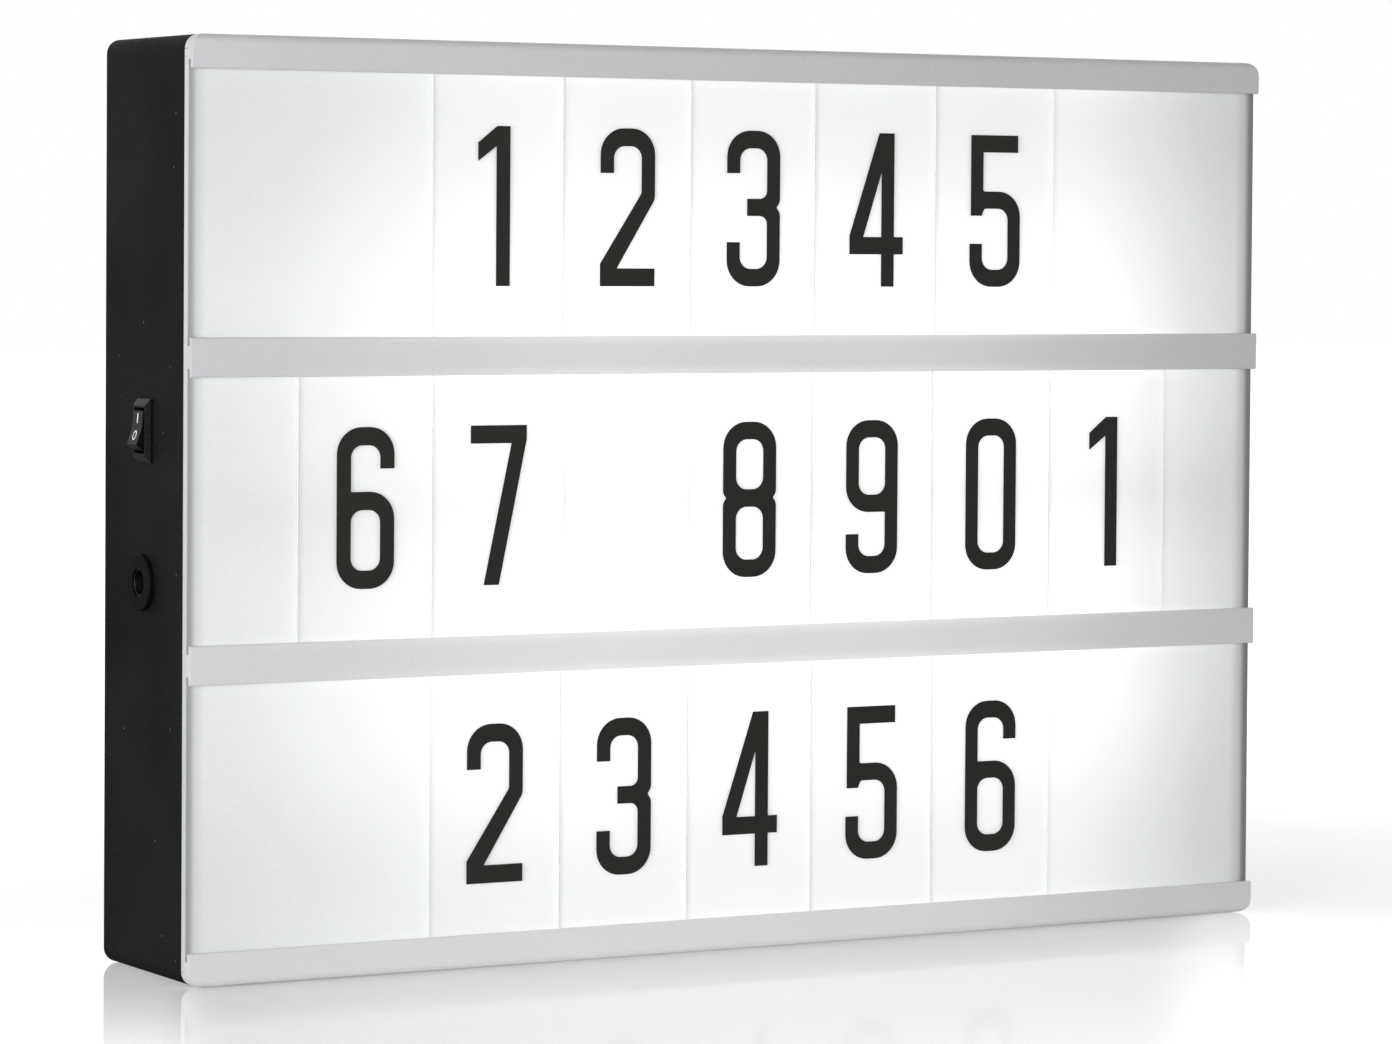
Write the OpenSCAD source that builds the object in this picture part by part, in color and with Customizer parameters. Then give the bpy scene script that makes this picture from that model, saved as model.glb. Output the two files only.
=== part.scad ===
// Cinema light box: a black case with a lit white front, rails and loose letter tiles.
// Origin: centre of the underside. +X to the viewer's right, the front faces -Y, +Z up.

/* [Case] */
// Width of the case
case_w = 300; // [270:1:330]
// Height of the case
case_h = 220; // [200:1:240]
// Depth from the rails' front to the back
case_d = 50; // [46:0.5:56]
// Corner radius of the case, seen from the front
corner_r = 3.5; // [2:0.5:4]
// Wall thickness of the side frame
wall = 2; // [1.8:0.1:2.2]
// Thickness of the back panel
back_t = 2.2; // [2:0.1:2.4]
// Gap round the back panel
back_gap = 0.25; // [0.1:0.05:0.4]
// Diameter of the case screws' bosses
boss_d = 7; // [6.5:0.5:8]
// Length of the case screws' bosses
boss_l = 14; // [12:1:16]

/* [Front] */
// Thickness of the opal front panel
panel_t = 2.2; // [2:0.1:2.6]
// Distance that the front panel stops short of the case's top and bottom
panel_short = 3.5; // [3:0.1:4]
// Distance that the rails stand out from the front panel
rail_reach = 2.3; // [2.2:0.1:2.6]
// Height of the top and bottom rails
cap_h = 8; // [7.5:0.5:9]
// Height of the two middle rails
mid_h = 9.2; // [9:0.1:10]
// Thickness of a rail's lip
lip_t = 1.2; // [1.1:0.1:1.3]
// Depth of a rail's groove
groove_depth = 2; // [1.6:0.1:2.2]
// Rounding of the rails' front edges
rail_edge_r = 0.5; // [0.3:0.1:0.5]
// Rounding of the outer edges of the top and bottom rails
cap_edge_r = 2; // [1.5:0.1:2.1]

/* [Tiles] */
// Width of a letter tile
tile_w = 34.9; // [33:0.1:35]
// Gap between two tiles that stand side by side
tile_gap = 0.2; // [0.1:0.05:0.4]
// Thickness of a letter tile
tile_t = 0.4; // [0.3:0.1:0.5]
// Height of a tile that stays in the upper rail's groove
tile_engage = 1.2; // [0.8:0.1:1.4]
// Number of tiles in the top and bottom rows
short_row_count = 5; // [3:1:7]
// Number of tiles before the gap in the middle row
before_gap_count = 2; // [1:1:3]
// Number of tiles after the gap in the middle row
after_gap_count = 4; // [1:1:4]

/* [Switch] */
// Height of the switch's middle above the table
switch_z = 127.9; // [120:0.1:140]
// Place of the switch between front and back
switch_y = 0.9; // [0:0.1:3]
// Height of the switch's bezel
bezel_h = 15; // [14.6:0.1:15.4]
// Width of the switch's bezel
bezel_w = 7.8; // [7.7:0.1:8.2]
// Thickness of the bezel
bezel_t = 1.8; // [1.6:0.1:2]
// Swing of the rocker to each side
rocker_swing = 12; // [10:0.5:12]

/* [Socket] */
// Height of the DC socket above the table
jack_z = 92.2; // [88:0.1:100]
// Place of the DC socket between front and back
jack_y = 2.2; // [0:0.1:4]
// Diameter of the socket's flange
jack_flange_d = 13.5; // [13.2:0.1:14]
// Diameter of the socket's hole, for a 5.5 mm plug
jack_bore_d = 6; // [5.9:0.05:6.1]
// Diameter of the socket's centre pin
jack_pin_d = 2; // [1.9:0.1:2.1]
// Depth of the socket's hole
jack_bore_l = 9.5; // [9:0.5:10]

/* [Lighting] */
// Thickness of the reflector
reflector_t = 1; // [0.8:0.1:1.2]
// Distance between the reflector's edge and the case's side
reflector_inset = 26; // [25:0.5:30]
// Gap between the reflector's back and the battery compartment
reflector_gap = 1.7; // [1.5:0.1:3]
// Length of reflector that shows past an LED board's end
board_margin = 20; // [18:0.5:24]
// Width of an LED board
board_w = 10; // [8:0.5:12]
// Thickness of an LED board
board_t = 1.6; // [1.2:0.1:1.8]
// Number of LEDs on a board
led_count = 12; // [8:1:12]

/* [Battery compartment] */
// Height of the compartment's middle above the table
tray_z = 58; // [56:1:62]
// Length of a cell's bay, with its contacts
bay_l = 57; // [57:0.5:58]
// Width of a cell's bay
bay_w = 15; // [14.8:0.1:15.2]
// Depth of a cell's bay
bay_d = 15; // [14.8:0.1:15.2]
// Thickness of the compartment's walls
tray_wall = 1.6; // [1.5:0.1:1.8]
// Thickness of the ribs between the bays
bay_rib = 1.2; // [1:0.1:1.4]
// Height of the ribs between the bays
bay_rib_h = 5; // [4:0.5:6]
// Thickness of the battery door
door_t = 2; // [1.8:0.1:2.1]
// Gap round the battery door
door_gap = 0.25; // [0.2:0.05:0.4]

/* [Hanging] */
// Distance between a keyhole and the case's side
keyhole_inset = 50; // [48:1:70]
// Distance of the keyholes' round ends below the case's top
keyhole_drop = 34; // [32:1:44]
// Diameter of a keyhole's round end
keyhole_d = 9; // [8:0.5:10]
// Width of a keyhole's slot
keyhole_slot = 4.5; // [4:0.1:5]
// Length of a keyhole's slot
keyhole_rise = 8; // [7:0.5:10]

/* [Hidden] */
$fn = 48;
eps = 0.01;
slip = 0.02;
case_black = "#202022";
rail_white = "#e9e9ec";
opal_white = "#f4f5f4";
tile_white = "#f8f8f6";
brass = "#c9a24a";
nickel = "#c8c8cc";
steel = "#8d8f94";
wire_red = "#b3261e";
wire_black = "#1a1a1a";

y_front = -case_d / 2;
y_back = case_d / 2;
y_panel = y_front + rail_reach;
y_frame = y_panel + panel_t;
y_inside = y_back - back_t;
x_side = case_w / 2;
x_wall = x_side - wall;

row_count = 3;
window_h = (case_h - 2 * cap_h - (row_count - 1) * mid_h) / row_count;
row_pitch = window_h + mid_h;
tile_lift = 0.1;
tile_h = window_h + groove_depth + tile_engage - tile_lift;
tile_pitch = tile_w + tile_gap;
word_gap = 34;
tile_stand_off = 0.3;
row_names = ["bottom", "middle", "top"];
middle_row_w = (before_gap_count + after_gap_count) * tile_pitch + word_gap;

screw_d = 2.6;
screw_head_d = 5;
screw_head_h = 1.4;
boss_inset = wall + boss_d / 2 - 0.3;
boss_web_t = 2.4;
case_screw_l = 10;
case_screw_x = case_w / 6;
gusset_t = 4;
gusset_reach = 4.5;
stud_d = 5;
stud_l = gusset_t + 0.1;
stud_side = 9.5;
stud_x = x_side - stud_side;
stud_inset = 6.6;
stud_skin = 0.2;
panel_screw_d = 2.2;
panel_screw_l = 3.8;
panel_screw_head_d = 7.5;
pan_head_h = 1.6;
tray_screw_l = 5.8;
post_screw_l = 8;

tray_in_w = 2 * bay_l + tray_wall;
tray_in_h = 3 * bay_w + 2 * bay_rib;
ledge = 1;
open_w = tray_in_w + 2 * ledge;
open_h = tray_in_h + 2 * ledge;
open_low = tray_z - open_h / 2;
y_bay = y_inside - bay_d;
y_tray = y_bay - tray_wall;
y_reflector_back = y_tray - reflector_gap;
y_reflector = y_reflector_back - reflector_t;
y_board = y_reflector - board_t;
ear = 9;
ear_t = 2;
ear_x = tray_in_w / 2 + tray_wall + ear / 2 - 0.5;
ear_z = 8;
tray_boss_l = 4;
contact_y = y_bay + bay_d / 2;
plate_t = 0.4;
plate_w = 11;
bump_d = 4;
bump_t = 1.2;
tray_tab_l = 3.5;
tray_tab_w = 3;
spring_l = 5.2;
spring_turns = 3;
spring_wire_r = 0.35;
spring_r = 4.2;
spring_tip_r = 2.2;
hinge_r = door_t / 2;
hinge_y = y_back - hinge_r;
hinge_z = open_low + hinge_r + 0.1;
tab_x = 35;
tab_w = 10;
tab_reach = 2.9;
tab_drop = 2.3;
tab_t = 1.4;
tab_swing = 4;
tab_root = 0.8;
partition_gap = 2;
tongue_w = 16;
tongue_l = 9;
tongue_slot = 0.8;
nose_w = 10;
nose_h = 1.5;
nose_t = 1.2;
grip_w = 12;
grip_h = 1;
grip_depth = 0.5;
grip_pitch = 2;
grip_rise = 1.6;

bezel_base_t = 0.5;
bezel_end_inset = 1.6;
bezel_side_inset = 0.6;
pivot_depth = 2.2;
pivot_x = -x_side - bezel_t + pivot_depth;
rocker_w = 5.4;
rocker_corner_z = 4;
rocker_corner_x = 3.3;
rocker_mid_x = 2.8;
rocker_tip_z = 5;
rocker_tip_x = 1.3;
rocker_foot_x = -1.6;
rocker_foot_z = 3;
rocker_pin_d = 1.6;
rocker_pin_reach = 0.6;
housing_w = 6.8;
housing_h = 13.2;
pin_hole_reach = housing_w / 2 + 0.1;
housing_in_w = 5.9;
housing_in_h = 10.8;
housing_l = 9;
floor_t = 1;
x_floor = -x_wall + housing_l - floor_t;
blade_swing = 8;
blade_l = 8.4;
blade_w = 2.8;
blade_t = 0.4;
blade_depth = 5.6;
blade_x = pivot_x + blade_depth;
plunger_reach = 5.05;
plunger_d = 1.6;
plunger_l = 2.4;
plunger_spring_l = 1.85;
plunger_spring_r = 0.7;
plunger_wire_r = 0.15;
contact_arm = 3.5;
fulcrum_r = 0.6;
snap_w = 5;
snap_l = 4.9;
snap_rise = 0.7;
terminal_w = 2.8;
terminal_t = 0.8;
terminal_l = 7;

jack_flange_t = 0.8;
jack_bevel = 0.3;
jack_washer_t = 0.6;
jack_barrel_d = 11;
jack_barrel_l = 13;
jack_sleeve_t = 0.35;
jack_nut_af = 14;
jack_nut_t = 2.5;
jack_pin_l = 6.8;
jack_tab_l = 4;
jack_tab_y = 2.6;
jack_tab_t = 0.6;
jack_tab_w = 2.8;
jack_link_d = 1.2;
jack_tip_l = 0.5;
x_jack = -x_side - jack_flange_t - jack_washer_t;
x_jack_back = -x_wall + jack_barrel_l;

reflector_w = case_w - 2 * reflector_inset;
reflector_z = 12;
post_d = 8;
post_side = 12;
post_x = reflector_w / 2 - post_side;
post_inset = 24;
board_l = reflector_w - 2 * board_margin;
rivet_d = 2.9;
rivet_head_d = 5;
rivet_head_t = 1;
rivet_tail_d = 3.9;
rivet_tail_t = 1.2;
rivet_side = 8;
rivet_x = board_l / 2 - rivet_side;
led_w = 3.5;
led_h = 2.8;
led_t = 1.2;
lens_d = 2.2;
lens_t = 0.25;
led_end = 16;
led_pitch = (board_l - 2 * led_end) / (led_count - 1);
chip_l = 3.2;
chip_h = 1.6;
chip_t = 0.6;
board_z = [cap_h + window_h + mid_h / 2, cap_h + 2 * window_h + 1.5 * mid_h];
lead_r = 0.75;
lead_gap = 0.8;
lead_stub = 2;
lead_loft = 5;
link_gap = 1.1;
link_bow = 6;
link_bow_2 = 10;
link_rise = 14;
pad_side = 3.5;
pad_x = board_l / 2 - pad_side;
lead_hole_d = 5;
hole_side = 4;
x_hole = board_l / 2 + hole_side;
x_tray_tab = -tray_in_w / 2 - tray_wall - tray_tab_l;
x_switch_tab = x_floor + floor_t + terminal_l;
x_jack_tab = x_jack_back + jack_tab_l;
y_pad = y_board - lead_r - slip;
y_lead = y_reflector_back + lead_loft;
tray_tab = [for (k = [0, 1]) [x_tray_tab, contact_y, bay_z(k)]];
pin_tab = [x_jack_tab, jack_y, jack_z];
sleeve_tab = [x_jack_tab, jack_y + jack_tab_y, jack_z];
common_tab = [x_switch_tab, switch_y, switch_z];
load_tab = [x_switch_tab, switch_y, switch_z - contact_arm];
stub = [lead_stub, 0, 0];
beside = [0, lead_gap, 0];
above = [0, 0, lead_gap];

keyhole_x = x_side - keyhole_inset;
keyhole_z = case_h - keyhole_drop;

case_screws = [
    for (x = [-x_side + boss_inset, x_side - boss_inset],
         z = [boss_inset, case_h / 4, 3 * case_h / 4, case_h - boss_inset])
        [x, z],
    for (x = [-case_screw_x, case_screw_x], z = [boss_inset, case_h - boss_inset]) [x, z]
];
posts = [
    for (x = [-post_x, post_x], z = [post_inset, case_h - post_inset]) [x, z],
    for (z = [case_h / 2, case_h - post_inset]) [0, z]
];
rivets = [for (x = [-rivet_x, 0, rivet_x], z = board_z) [x, z]];
studs = [for (x = [-stud_x, stud_x], z = [stud_inset, case_h - stud_inset]) [x, z]];
lead_holes = [for (x = [-x_hole, x_hole], z = board_z) [x, z]];

function row_base(row) = cap_h + row * row_pitch;
function tile_x(row, slot) =
    row == 1
        ? -middle_row_w / 2 + tile_pitch * (slot + 0.5) + (slot < before_gap_count ? 0 : word_gap)
        : tile_pitch * (slot - (short_row_count - 1) / 2);
function tile_count(row) = row == 1 ? before_gap_count + after_gap_count : short_row_count;
function tile_name(row, slot) = str("tile_", row_names[row], "_", slot + 1);

TILE_NODES = [for (row = [0 : row_count - 1], slot = [0 : tile_count(row) - 1]) tile_name(row, slot)];

// ---- helpers ----

// Extrudes an outline drawn as (X, Z) from y0 to y1.
module along_y(y0, y1) {
    translate([0, y1, 0]) rotate([90, 0, 0]) linear_extrude(y1 - y0) children();
}

// Extrudes an outline drawn as (Y, Z) from x0 to x1.
module along_x(x0, x1) {
    translate([x0, 0, 0]) rotate([90, 0, 90]) linear_extrude(x1 - x0) children();
}

// A block between two opposite corners.
module block(low, high) {
    translate(low) cube(high - low);
}

// A rectangle with round corners, its lower edge's middle at the origin.
module rounded(w, h, r) {
    translate([-w / 2 + r, 0]) square([w - 2 * r, h]);
    translate([-w / 2, r]) square([w, h - 2 * r]);
    for (x = [-w / 2 + r, w / 2 - r], z = [r, h - r]) {
        translate([x, z]) circle(r);
    }
}

// A rod along Y from y0 to y1.
module rod_y(x, z, d, y0, y1) {
    translate([x, y1, z]) rotate([90, 0, 0]) cylinder(d = d, h = y1 - y0);
}

// A rod along X from x0 to x1.
module rod_x(y, z, d, x0, x1) {
    translate([x0, y, z]) rotate([0, 90, 0]) cylinder(d = d, h = x1 - x0);
}

// The cross recess in a screw's head, cut down from z.
module cross_recess(z, span, depth) {
    for (turn = [0, 90]) {
        rotate([0, 0, turn]) translate([-span / 2, -0.35, z - depth]) cube([span, 0.7, depth + 1]);
    }
}

// A pan-head screw along Z, its head's underside at z = 0.
module pan_screw(d, l, head_d, head_h) {
    difference() {
        union() {
            translate([0, 0, -l]) cylinder(d = d, h = l + eps);
            cylinder(d = head_d, h = head_h * 0.6);
            translate([0, 0, head_h * 0.6]) cylinder(d1 = head_d, d2 = head_d * 0.7, h = head_h * 0.4);
        }
        cross_recess(head_h, head_d * 0.6, head_h * 0.6);
    }
}

// A countersunk screw along Z, its head's top at z = 0.
module flat_screw(d, l, head_d, head_h) {
    difference() {
        union() {
            translate([0, 0, -l]) cylinder(d = d, h = l - head_h + eps);
            translate([0, 0, -head_h]) cylinder(d1 = d, d2 = head_d, h = head_h);
        }
        cross_recess(0, head_d * 0.6, head_h * 0.6);
    }
}

// Points of a smooth curve through the points p, n steps from each to the next.
function bend(a, b, c, d, t) =
    0.5 * (2 * b + (c - a) * t + (2 * a - 5 * b + 4 * c - d) * t * t + (3 * b - a - 3 * c + d) * t * t * t);
function curve(p, n) = [
    for (i = [0 : len(p) - 2], k = [0 : n - 1])
        bend(p[max(i - 1, 0)], p[i], p[i + 1], p[min(i + 2, len(p) - 1)], k / n),
    p[len(p) - 1]
];
function unit(v) = v / norm(v);
function heading(p, i) = unit(p[min(i + 1, len(p) - 1)] - p[max(i - 1, 0)]);
// The side direction at each ring, carried along so that the tube doesn't twist.
function carried(side, t) = unit(side - (side * t) * t);
function sides(p, i, list) =
    i == len(p) ? list : sides(p, i + 1, concat(list, [carried(list[i - 1], heading(p, i))]));

// A round tube through the points p, with n sides.
module tube(p, r, n) {
    first = carried(abs(heading(p, 0)[2]) < 0.9 ? [0, 0, 1] : [0, 1, 0], heading(p, 0));
    side = sides(p, 1, [first]);
    last = len(p) - 1;
    rings = [
        for (i = [0 : last], k = [0 : n - 1])
            p[i] + r * (cos(360 * k / n) * side[i] + sin(360 * k / n) * cross(heading(p, i), side[i]))
    ];
    walls = [
        for (i = [0 : last - 1], k = [0 : n - 1])
            [i * n + k, (i + 1) * n + k, (i + 1) * n + (k + 1) % n, i * n + (k + 1) % n]
    ];
    start_cap = [for (k = [0 : n - 1]) k];
    end_cap = [for (k = [0 : n - 1]) last * n + n - 1 - k];
    polyhedron(rings, concat(walls, [start_cap, end_cap]));
}

// ---- case ----

module side_frame() color(case_black) difference() {
    union() {
        along_y(y_frame, y_back) difference() {
            rounded(case_w, case_h, corner_r);
            translate([0, wall]) rounded(2 * x_wall, case_h - 2 * wall, corner_r - wall / 2);
        }
        for (s = case_screws) {
            frame_boss(s[0], s[1]);
        }
        for (s = studs) {
            frame_gusset(s[0], s[1]);
        }
    }
    for (s = case_screws) {
        rod_y(s[0], s[1], screw_d + 2 * slip, y_inside - boss_l - 1, y_inside + 1);
    }
    for (s = studs) {
        rod_y(s[0], s[1], stud_d + 0.3, y_frame - 1, y_frame + stud_l + 1);
    }
    switch_cutout();
    rod_x(jack_y, jack_z, jack_barrel_d + 0.3, -x_side - 1, -x_wall + 1);
}

// A boss for a case screw, joined to the nearest wall.
module frame_boss(x, z) {
    reach = boss_inset - wall / 2;
    upright = z > boss_inset && z < case_h - boss_inset;
    away = upright ? [sign(x) * reach, 0] : [0, z < case_h / 2 ? -reach : reach];
    across = upright ? [0, boss_web_t / 2] : [boss_web_t / 2, 0];
    low = [min(x, x + away[0]), min(z, z + away[1])] - across;
    high = [max(x, x + away[0]), max(z, z + away[1])] + across;
    rod_y(x, z, boss_d, y_inside - boss_l, y_inside);
    block([low[0], y_inside - boss_l, low[1]], [high[0], y_inside, high[1]]);
}

// The corner plate that a stud of the front panel passes through.
module frame_gusset(x, z) {
    w = x_side - stud_x + gusset_reach - wall / 2;
    h = stud_inset + gusset_reach - wall / 2;
    side = x < 0 ? -x_side + wall / 2 : x - gusset_reach;
    foot = z < case_h / 2 ? wall / 2 : z - gusset_reach;
    block([side, y_frame, foot], [side + w, y_frame + gusset_t, foot + h]);
}

module switch_cutout() {
    block([-x_side - 1, switch_y - housing_w / 2 - 0.1, switch_z - housing_h / 2 - 0.1],
          [-x_wall + 1, switch_y + housing_w / 2 + 0.1, switch_z + housing_h / 2 + 0.1]);
}

module back_panel() color(case_black) difference() {
    union() {
        along_y(y_inside, y_back) translate([0, wall + back_gap])
            rounded(2 * (x_wall - back_gap), case_h - 2 * (wall + back_gap), corner_r - wall / 2);
        for (p = posts) {
            rod_y(p[0], p[1], post_d, y_reflector_back, y_inside + eps);
        }
        for (x = [-ear_x, ear_x], z = [tray_z - ear_z, tray_z + ear_z]) {
            rod_y(x, z, boss_d, y_inside - tray_boss_l, y_inside + eps);
        }
    }
    for (s = case_screws) {
        translate([s[0], y_back, s[1]]) rotate([-90, 0, 0]) countersink();
    }
    for (p = posts) {
        rod_y(p[0], p[1], screw_d + 2 * slip, y_reflector, y_reflector_back + post_screw_l);
    }
    for (x = [-ear_x, ear_x], z = [tray_z - ear_z, tray_z + ear_z]) {
        rod_y(x, z, screw_d + 2 * slip, y_inside - tray_boss_l - 1, y_inside + 0.4);
    }
    block([-open_w / 2, y_inside - 1, open_low], [open_w / 2, y_back + 1, open_low + open_h]);
    for (x = [-keyhole_x, keyhole_x]) {
        keyhole(x);
    }
}

// The hole that a countersunk screw sits in, its mouth at z = 0.
module countersink() {
    sink = screw_head_h + 0.1;
    translate([0, 0, -sink]) cylinder(d1 = screw_d + 0.3, d2 = screw_head_d + 0.5, h = sink);
    translate([0, 0, -eps]) cylinder(d = screw_head_d + 0.5, h = 1);
    translate([0, 0, -back_t - 1]) cylinder(d = screw_d + 0.3, h = back_t + 1);
}

module keyhole(x) {
    rod_y(x, keyhole_z, keyhole_d, y_inside - 1, y_back + 1);
    rod_y(x, keyhole_z + keyhole_rise, keyhole_slot, y_inside - 1, y_back + 1);
    block([x - keyhole_slot / 2, y_inside - 1, keyhole_z],
          [x + keyhole_slot / 2, y_back + 1, keyhole_z + keyhole_rise]);
}

// ---- front ----

module front_panel() color(opal_white)
    block([-x_side, y_panel, panel_short], [x_side, y_frame, case_h - panel_short]);

// The pins bonded to the panel's back, which its screws go into.
module panel_studs() color(opal_white) {
    for (s = studs) {
        difference() {
            rod_y(s[0], s[1], stud_d, y_frame, y_frame + stud_l);
            rod_y(s[0], s[1], panel_screw_d + 2 * slip, y_frame + stud_skin, y_frame + stud_l + 1);
        }
    }
}

// Outline of a lip with round front edges, from z0 to z1.
module lip_outline(z0, z1) {
    r = rail_edge_r;
    translate([y_front, z0 + r]) square([lip_t, z1 - z0 - 2 * r]);
    translate([y_front + r, z0]) square([lip_t - r, z1 - z0]);
    for (z = [z0 + r, z1 - r]) {
        translate([y_front + r, z]) circle(r);
    }
}

// Outline of a middle rail, T-shaped, its middle at z = 0.
module mid_outline() {
    web = mid_h / 2 - groove_depth;
    lip_outline(-mid_h / 2, mid_h / 2);
    translate([y_front + lip_t / 2, -web]) square([rail_reach - lip_t / 2, 2 * web]);
}

// Outline of the bottom rail, which wraps under the front panel's edge.
module cap_outline() {
    top = cap_h - groove_depth;
    translate([y_front, cap_edge_r]) square([lip_t, cap_h - cap_edge_r - rail_edge_r]);
    translate([y_front + rail_edge_r, cap_edge_r]) square([lip_t - rail_edge_r, cap_h - cap_edge_r]);
    translate([y_front + rail_edge_r, cap_h - rail_edge_r]) circle(rail_edge_r);
    translate([y_front + cap_edge_r, cap_edge_r]) intersection() {
        circle(cap_edge_r);
        translate([-cap_edge_r, -cap_edge_r]) square(cap_edge_r + eps);
    }
    translate([y_front + lip_t / 2, cap_edge_r]) square([rail_reach - lip_t / 2, top - cap_edge_r]);
    translate([y_front + cap_edge_r, 0]) square([y_frame - y_front - cap_edge_r, panel_short - 0.1]);
    translate([y_front + cap_edge_r, 0]) square([rail_reach - cap_edge_r, cap_edge_r + eps]);
}

module mid_rail(z) color(rail_white) {
    translate([0, 0, z]) along_x(-x_side, x_side) mid_outline();
}

// The rail's ends follow the case's round corners.
module cap_rail() color(rail_white) intersection() {
    along_x(-x_side, x_side) cap_outline();
    along_y(y_front - 1, y_frame + 1) rounded(case_w, case_h, corner_r);
}

module rail_bottom() cap_rail();
module rail_top() translate([0, 0, case_h]) mirror([0, 0, 1]) cap_rail();
module rail_lower() mid_rail(board_z[0]);
module rail_upper() mid_rail(board_z[1]);

module tile(row, slot) color(tile_white) {
    x = tile_x(row, slot);
    y = y_panel - tile_stand_off;
    z = row_base(row) - groove_depth + tile_lift;
    block([x - tile_w / 2, y - tile_t, z], [x + tile_w / 2, y, z + tile_h]);
}

// ---- lighting ----

module reflector() color(rail_white) difference() {
    block([-reflector_w / 2, y_reflector, reflector_z],
          [reflector_w / 2, y_reflector_back, case_h - reflector_z]);
    for (p = posts) {
        rod_y(p[0], p[1], screw_d + 0.3, y_reflector - 1, y_reflector_back + 1);
    }
    for (p = rivets) {
        rod_y(p[0], p[1], rivet_d + 0.2, y_reflector - 1, y_reflector_back + 1);
    }
    for (p = lead_holes) {
        rod_y(p[0], p[1], lead_hole_d, y_reflector - 1, y_reflector_back + 1);
    }
}

module led_board(z) color(opal_white) difference() {
    block([-board_l / 2, y_board, z - board_w / 2], [board_l / 2, y_reflector, z + board_w / 2]);
    for (p = rivets) {
        rod_y(p[0], p[1], rivet_d + 0.2, y_board - 1, y_reflector + 1);
    }
}

module led_board_upper() led_board(board_z[1]);
module led_board_lower() led_board(board_z[0]);

function led_x(i) = (i - (led_count - 1) / 2) * led_pitch;

// Each LED is a square package with a shallow round lens.
module leds() color("#f2efc0") {
    for (z = board_z, i = [0 : led_count - 1]) {
        x = led_x(i);
        block([x - led_w / 2, y_board - led_t, z - led_h / 2], [x + led_w / 2, y_board, z + led_h / 2]);
        rod_y(x, z, lens_d, y_board - led_t - lens_t, y_board - led_t + eps);
    }
}

module resistors() color("#26262a") {
    for (z = board_z, i = [0 : 3 : led_count - 2]) {
        x = led_x(i) + led_pitch / 2;
        block([x - chip_l / 2, y_board - chip_t, z + chip_h], [x + chip_l / 2, y_board, z + 2 * chip_h]);
    }
}

// Nylon rivets: a head in front of the board and a tail behind the reflector.
module board_rivets() color(rail_white) {
    for (p = rivets) {
        rod_y(p[0], p[1], rivet_d, y_board - eps, y_reflector_back + eps);
        rod_y(p[0], p[1], rivet_head_d, y_board - rivet_head_t, y_board);
        rod_y(p[0], p[1], rivet_tail_d, y_reflector_back, y_reflector_back + rivet_tail_t);
    }
}

// ---- battery compartment ----

module battery_tray() color(case_black) difference() {
    union() {
        difference() {
            tray_block(tray_wall, y_tray);
            tray_block(0, y_bay);
        }
        block([-tray_wall / 2, y_tray + 1, tray_z - tray_in_h / 2 - 1],
              [tray_wall / 2, y_inside - partition_gap, tray_z + tray_in_h / 2 + 1]);
        for (k = [-1, 1]) {
            z = tray_z + k * (bay_w + bay_rib) / 2;
            block([-tray_in_w / 2 - 1, y_tray + 1, z - bay_rib / 2],
                  [tray_in_w / 2 + 1, y_bay + bay_rib_h, z + bay_rib / 2]);
        }
        for (x = [-ear_x, ear_x], z = [tray_z - ear_z, tray_z + ear_z]) {
            tray_ear(x, z);
        }
    }
    for (x = [-ear_x, ear_x], z = [tray_z - ear_z, tray_z + ear_z]) {
        rod_y(x, z, screw_d + 0.3, y_inside - tray_boss_l - ear_t - 1, y_inside - tray_boss_l + 1);
    }
    for (x = [-tab_x, tab_x]) {
        block([x - tab_w / 2 - 0.5, hinge_y - tab_swing, tray_z - tray_in_h / 2 - tray_wall - 1],
              [x + tab_w / 2 + 0.5, y_inside + 1, tray_z - tray_in_h / 2 + eps]);
    }
    for (k = [0, 1]) {
        tab_slot(bay_z(k));
    }
}

// The tray's inside, grown by g on its four sides, from y0 to the back panel.
module tray_block(g, y0) {
    block([-tray_in_w / 2 - g, y0, tray_z - tray_in_h / 2 - g],
          [tray_in_w / 2 + g, y_inside + (g > 0 ? 0 : 1), tray_z + tray_in_h / 2 + g]);
}

// The slot in the tray's left wall that a contact's solder tab comes out of.
module tab_slot(z) {
    block([-tray_in_w / 2 - tray_wall - 1, contact_y - 0.4, z - tray_tab_w / 2 - 0.2],
          [-tray_in_w / 2 + 1, contact_y + 0.4, z + tray_tab_w / 2 + 0.2]);
}

module tray_ear(x, z) {
    inner = sign(x) * (tray_in_w / 2 + tray_wall - 0.5);
    block([min(x, inner) - (x < 0 ? ear / 2 : 0), y_inside - tray_boss_l - ear_t, z - ear / 2],
          [max(x, inner) + (x > 0 ? ear / 2 : 0), y_inside - tray_boss_l, z + ear / 2]);
}

// Which end of the bay at column c and level k holds the coil: -1 left, 1 right.
function coil_end(c, k) = (k + c) % 2 == 0 ? -1 : 1;
function bay_x(c, end) = (c == 0 ? -1 : 1) * (bay_l + tray_wall) / 2 + end * bay_l / 2;
function bay_z(k) = tray_z + (k - 1) * (bay_w + bay_rib);

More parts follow.
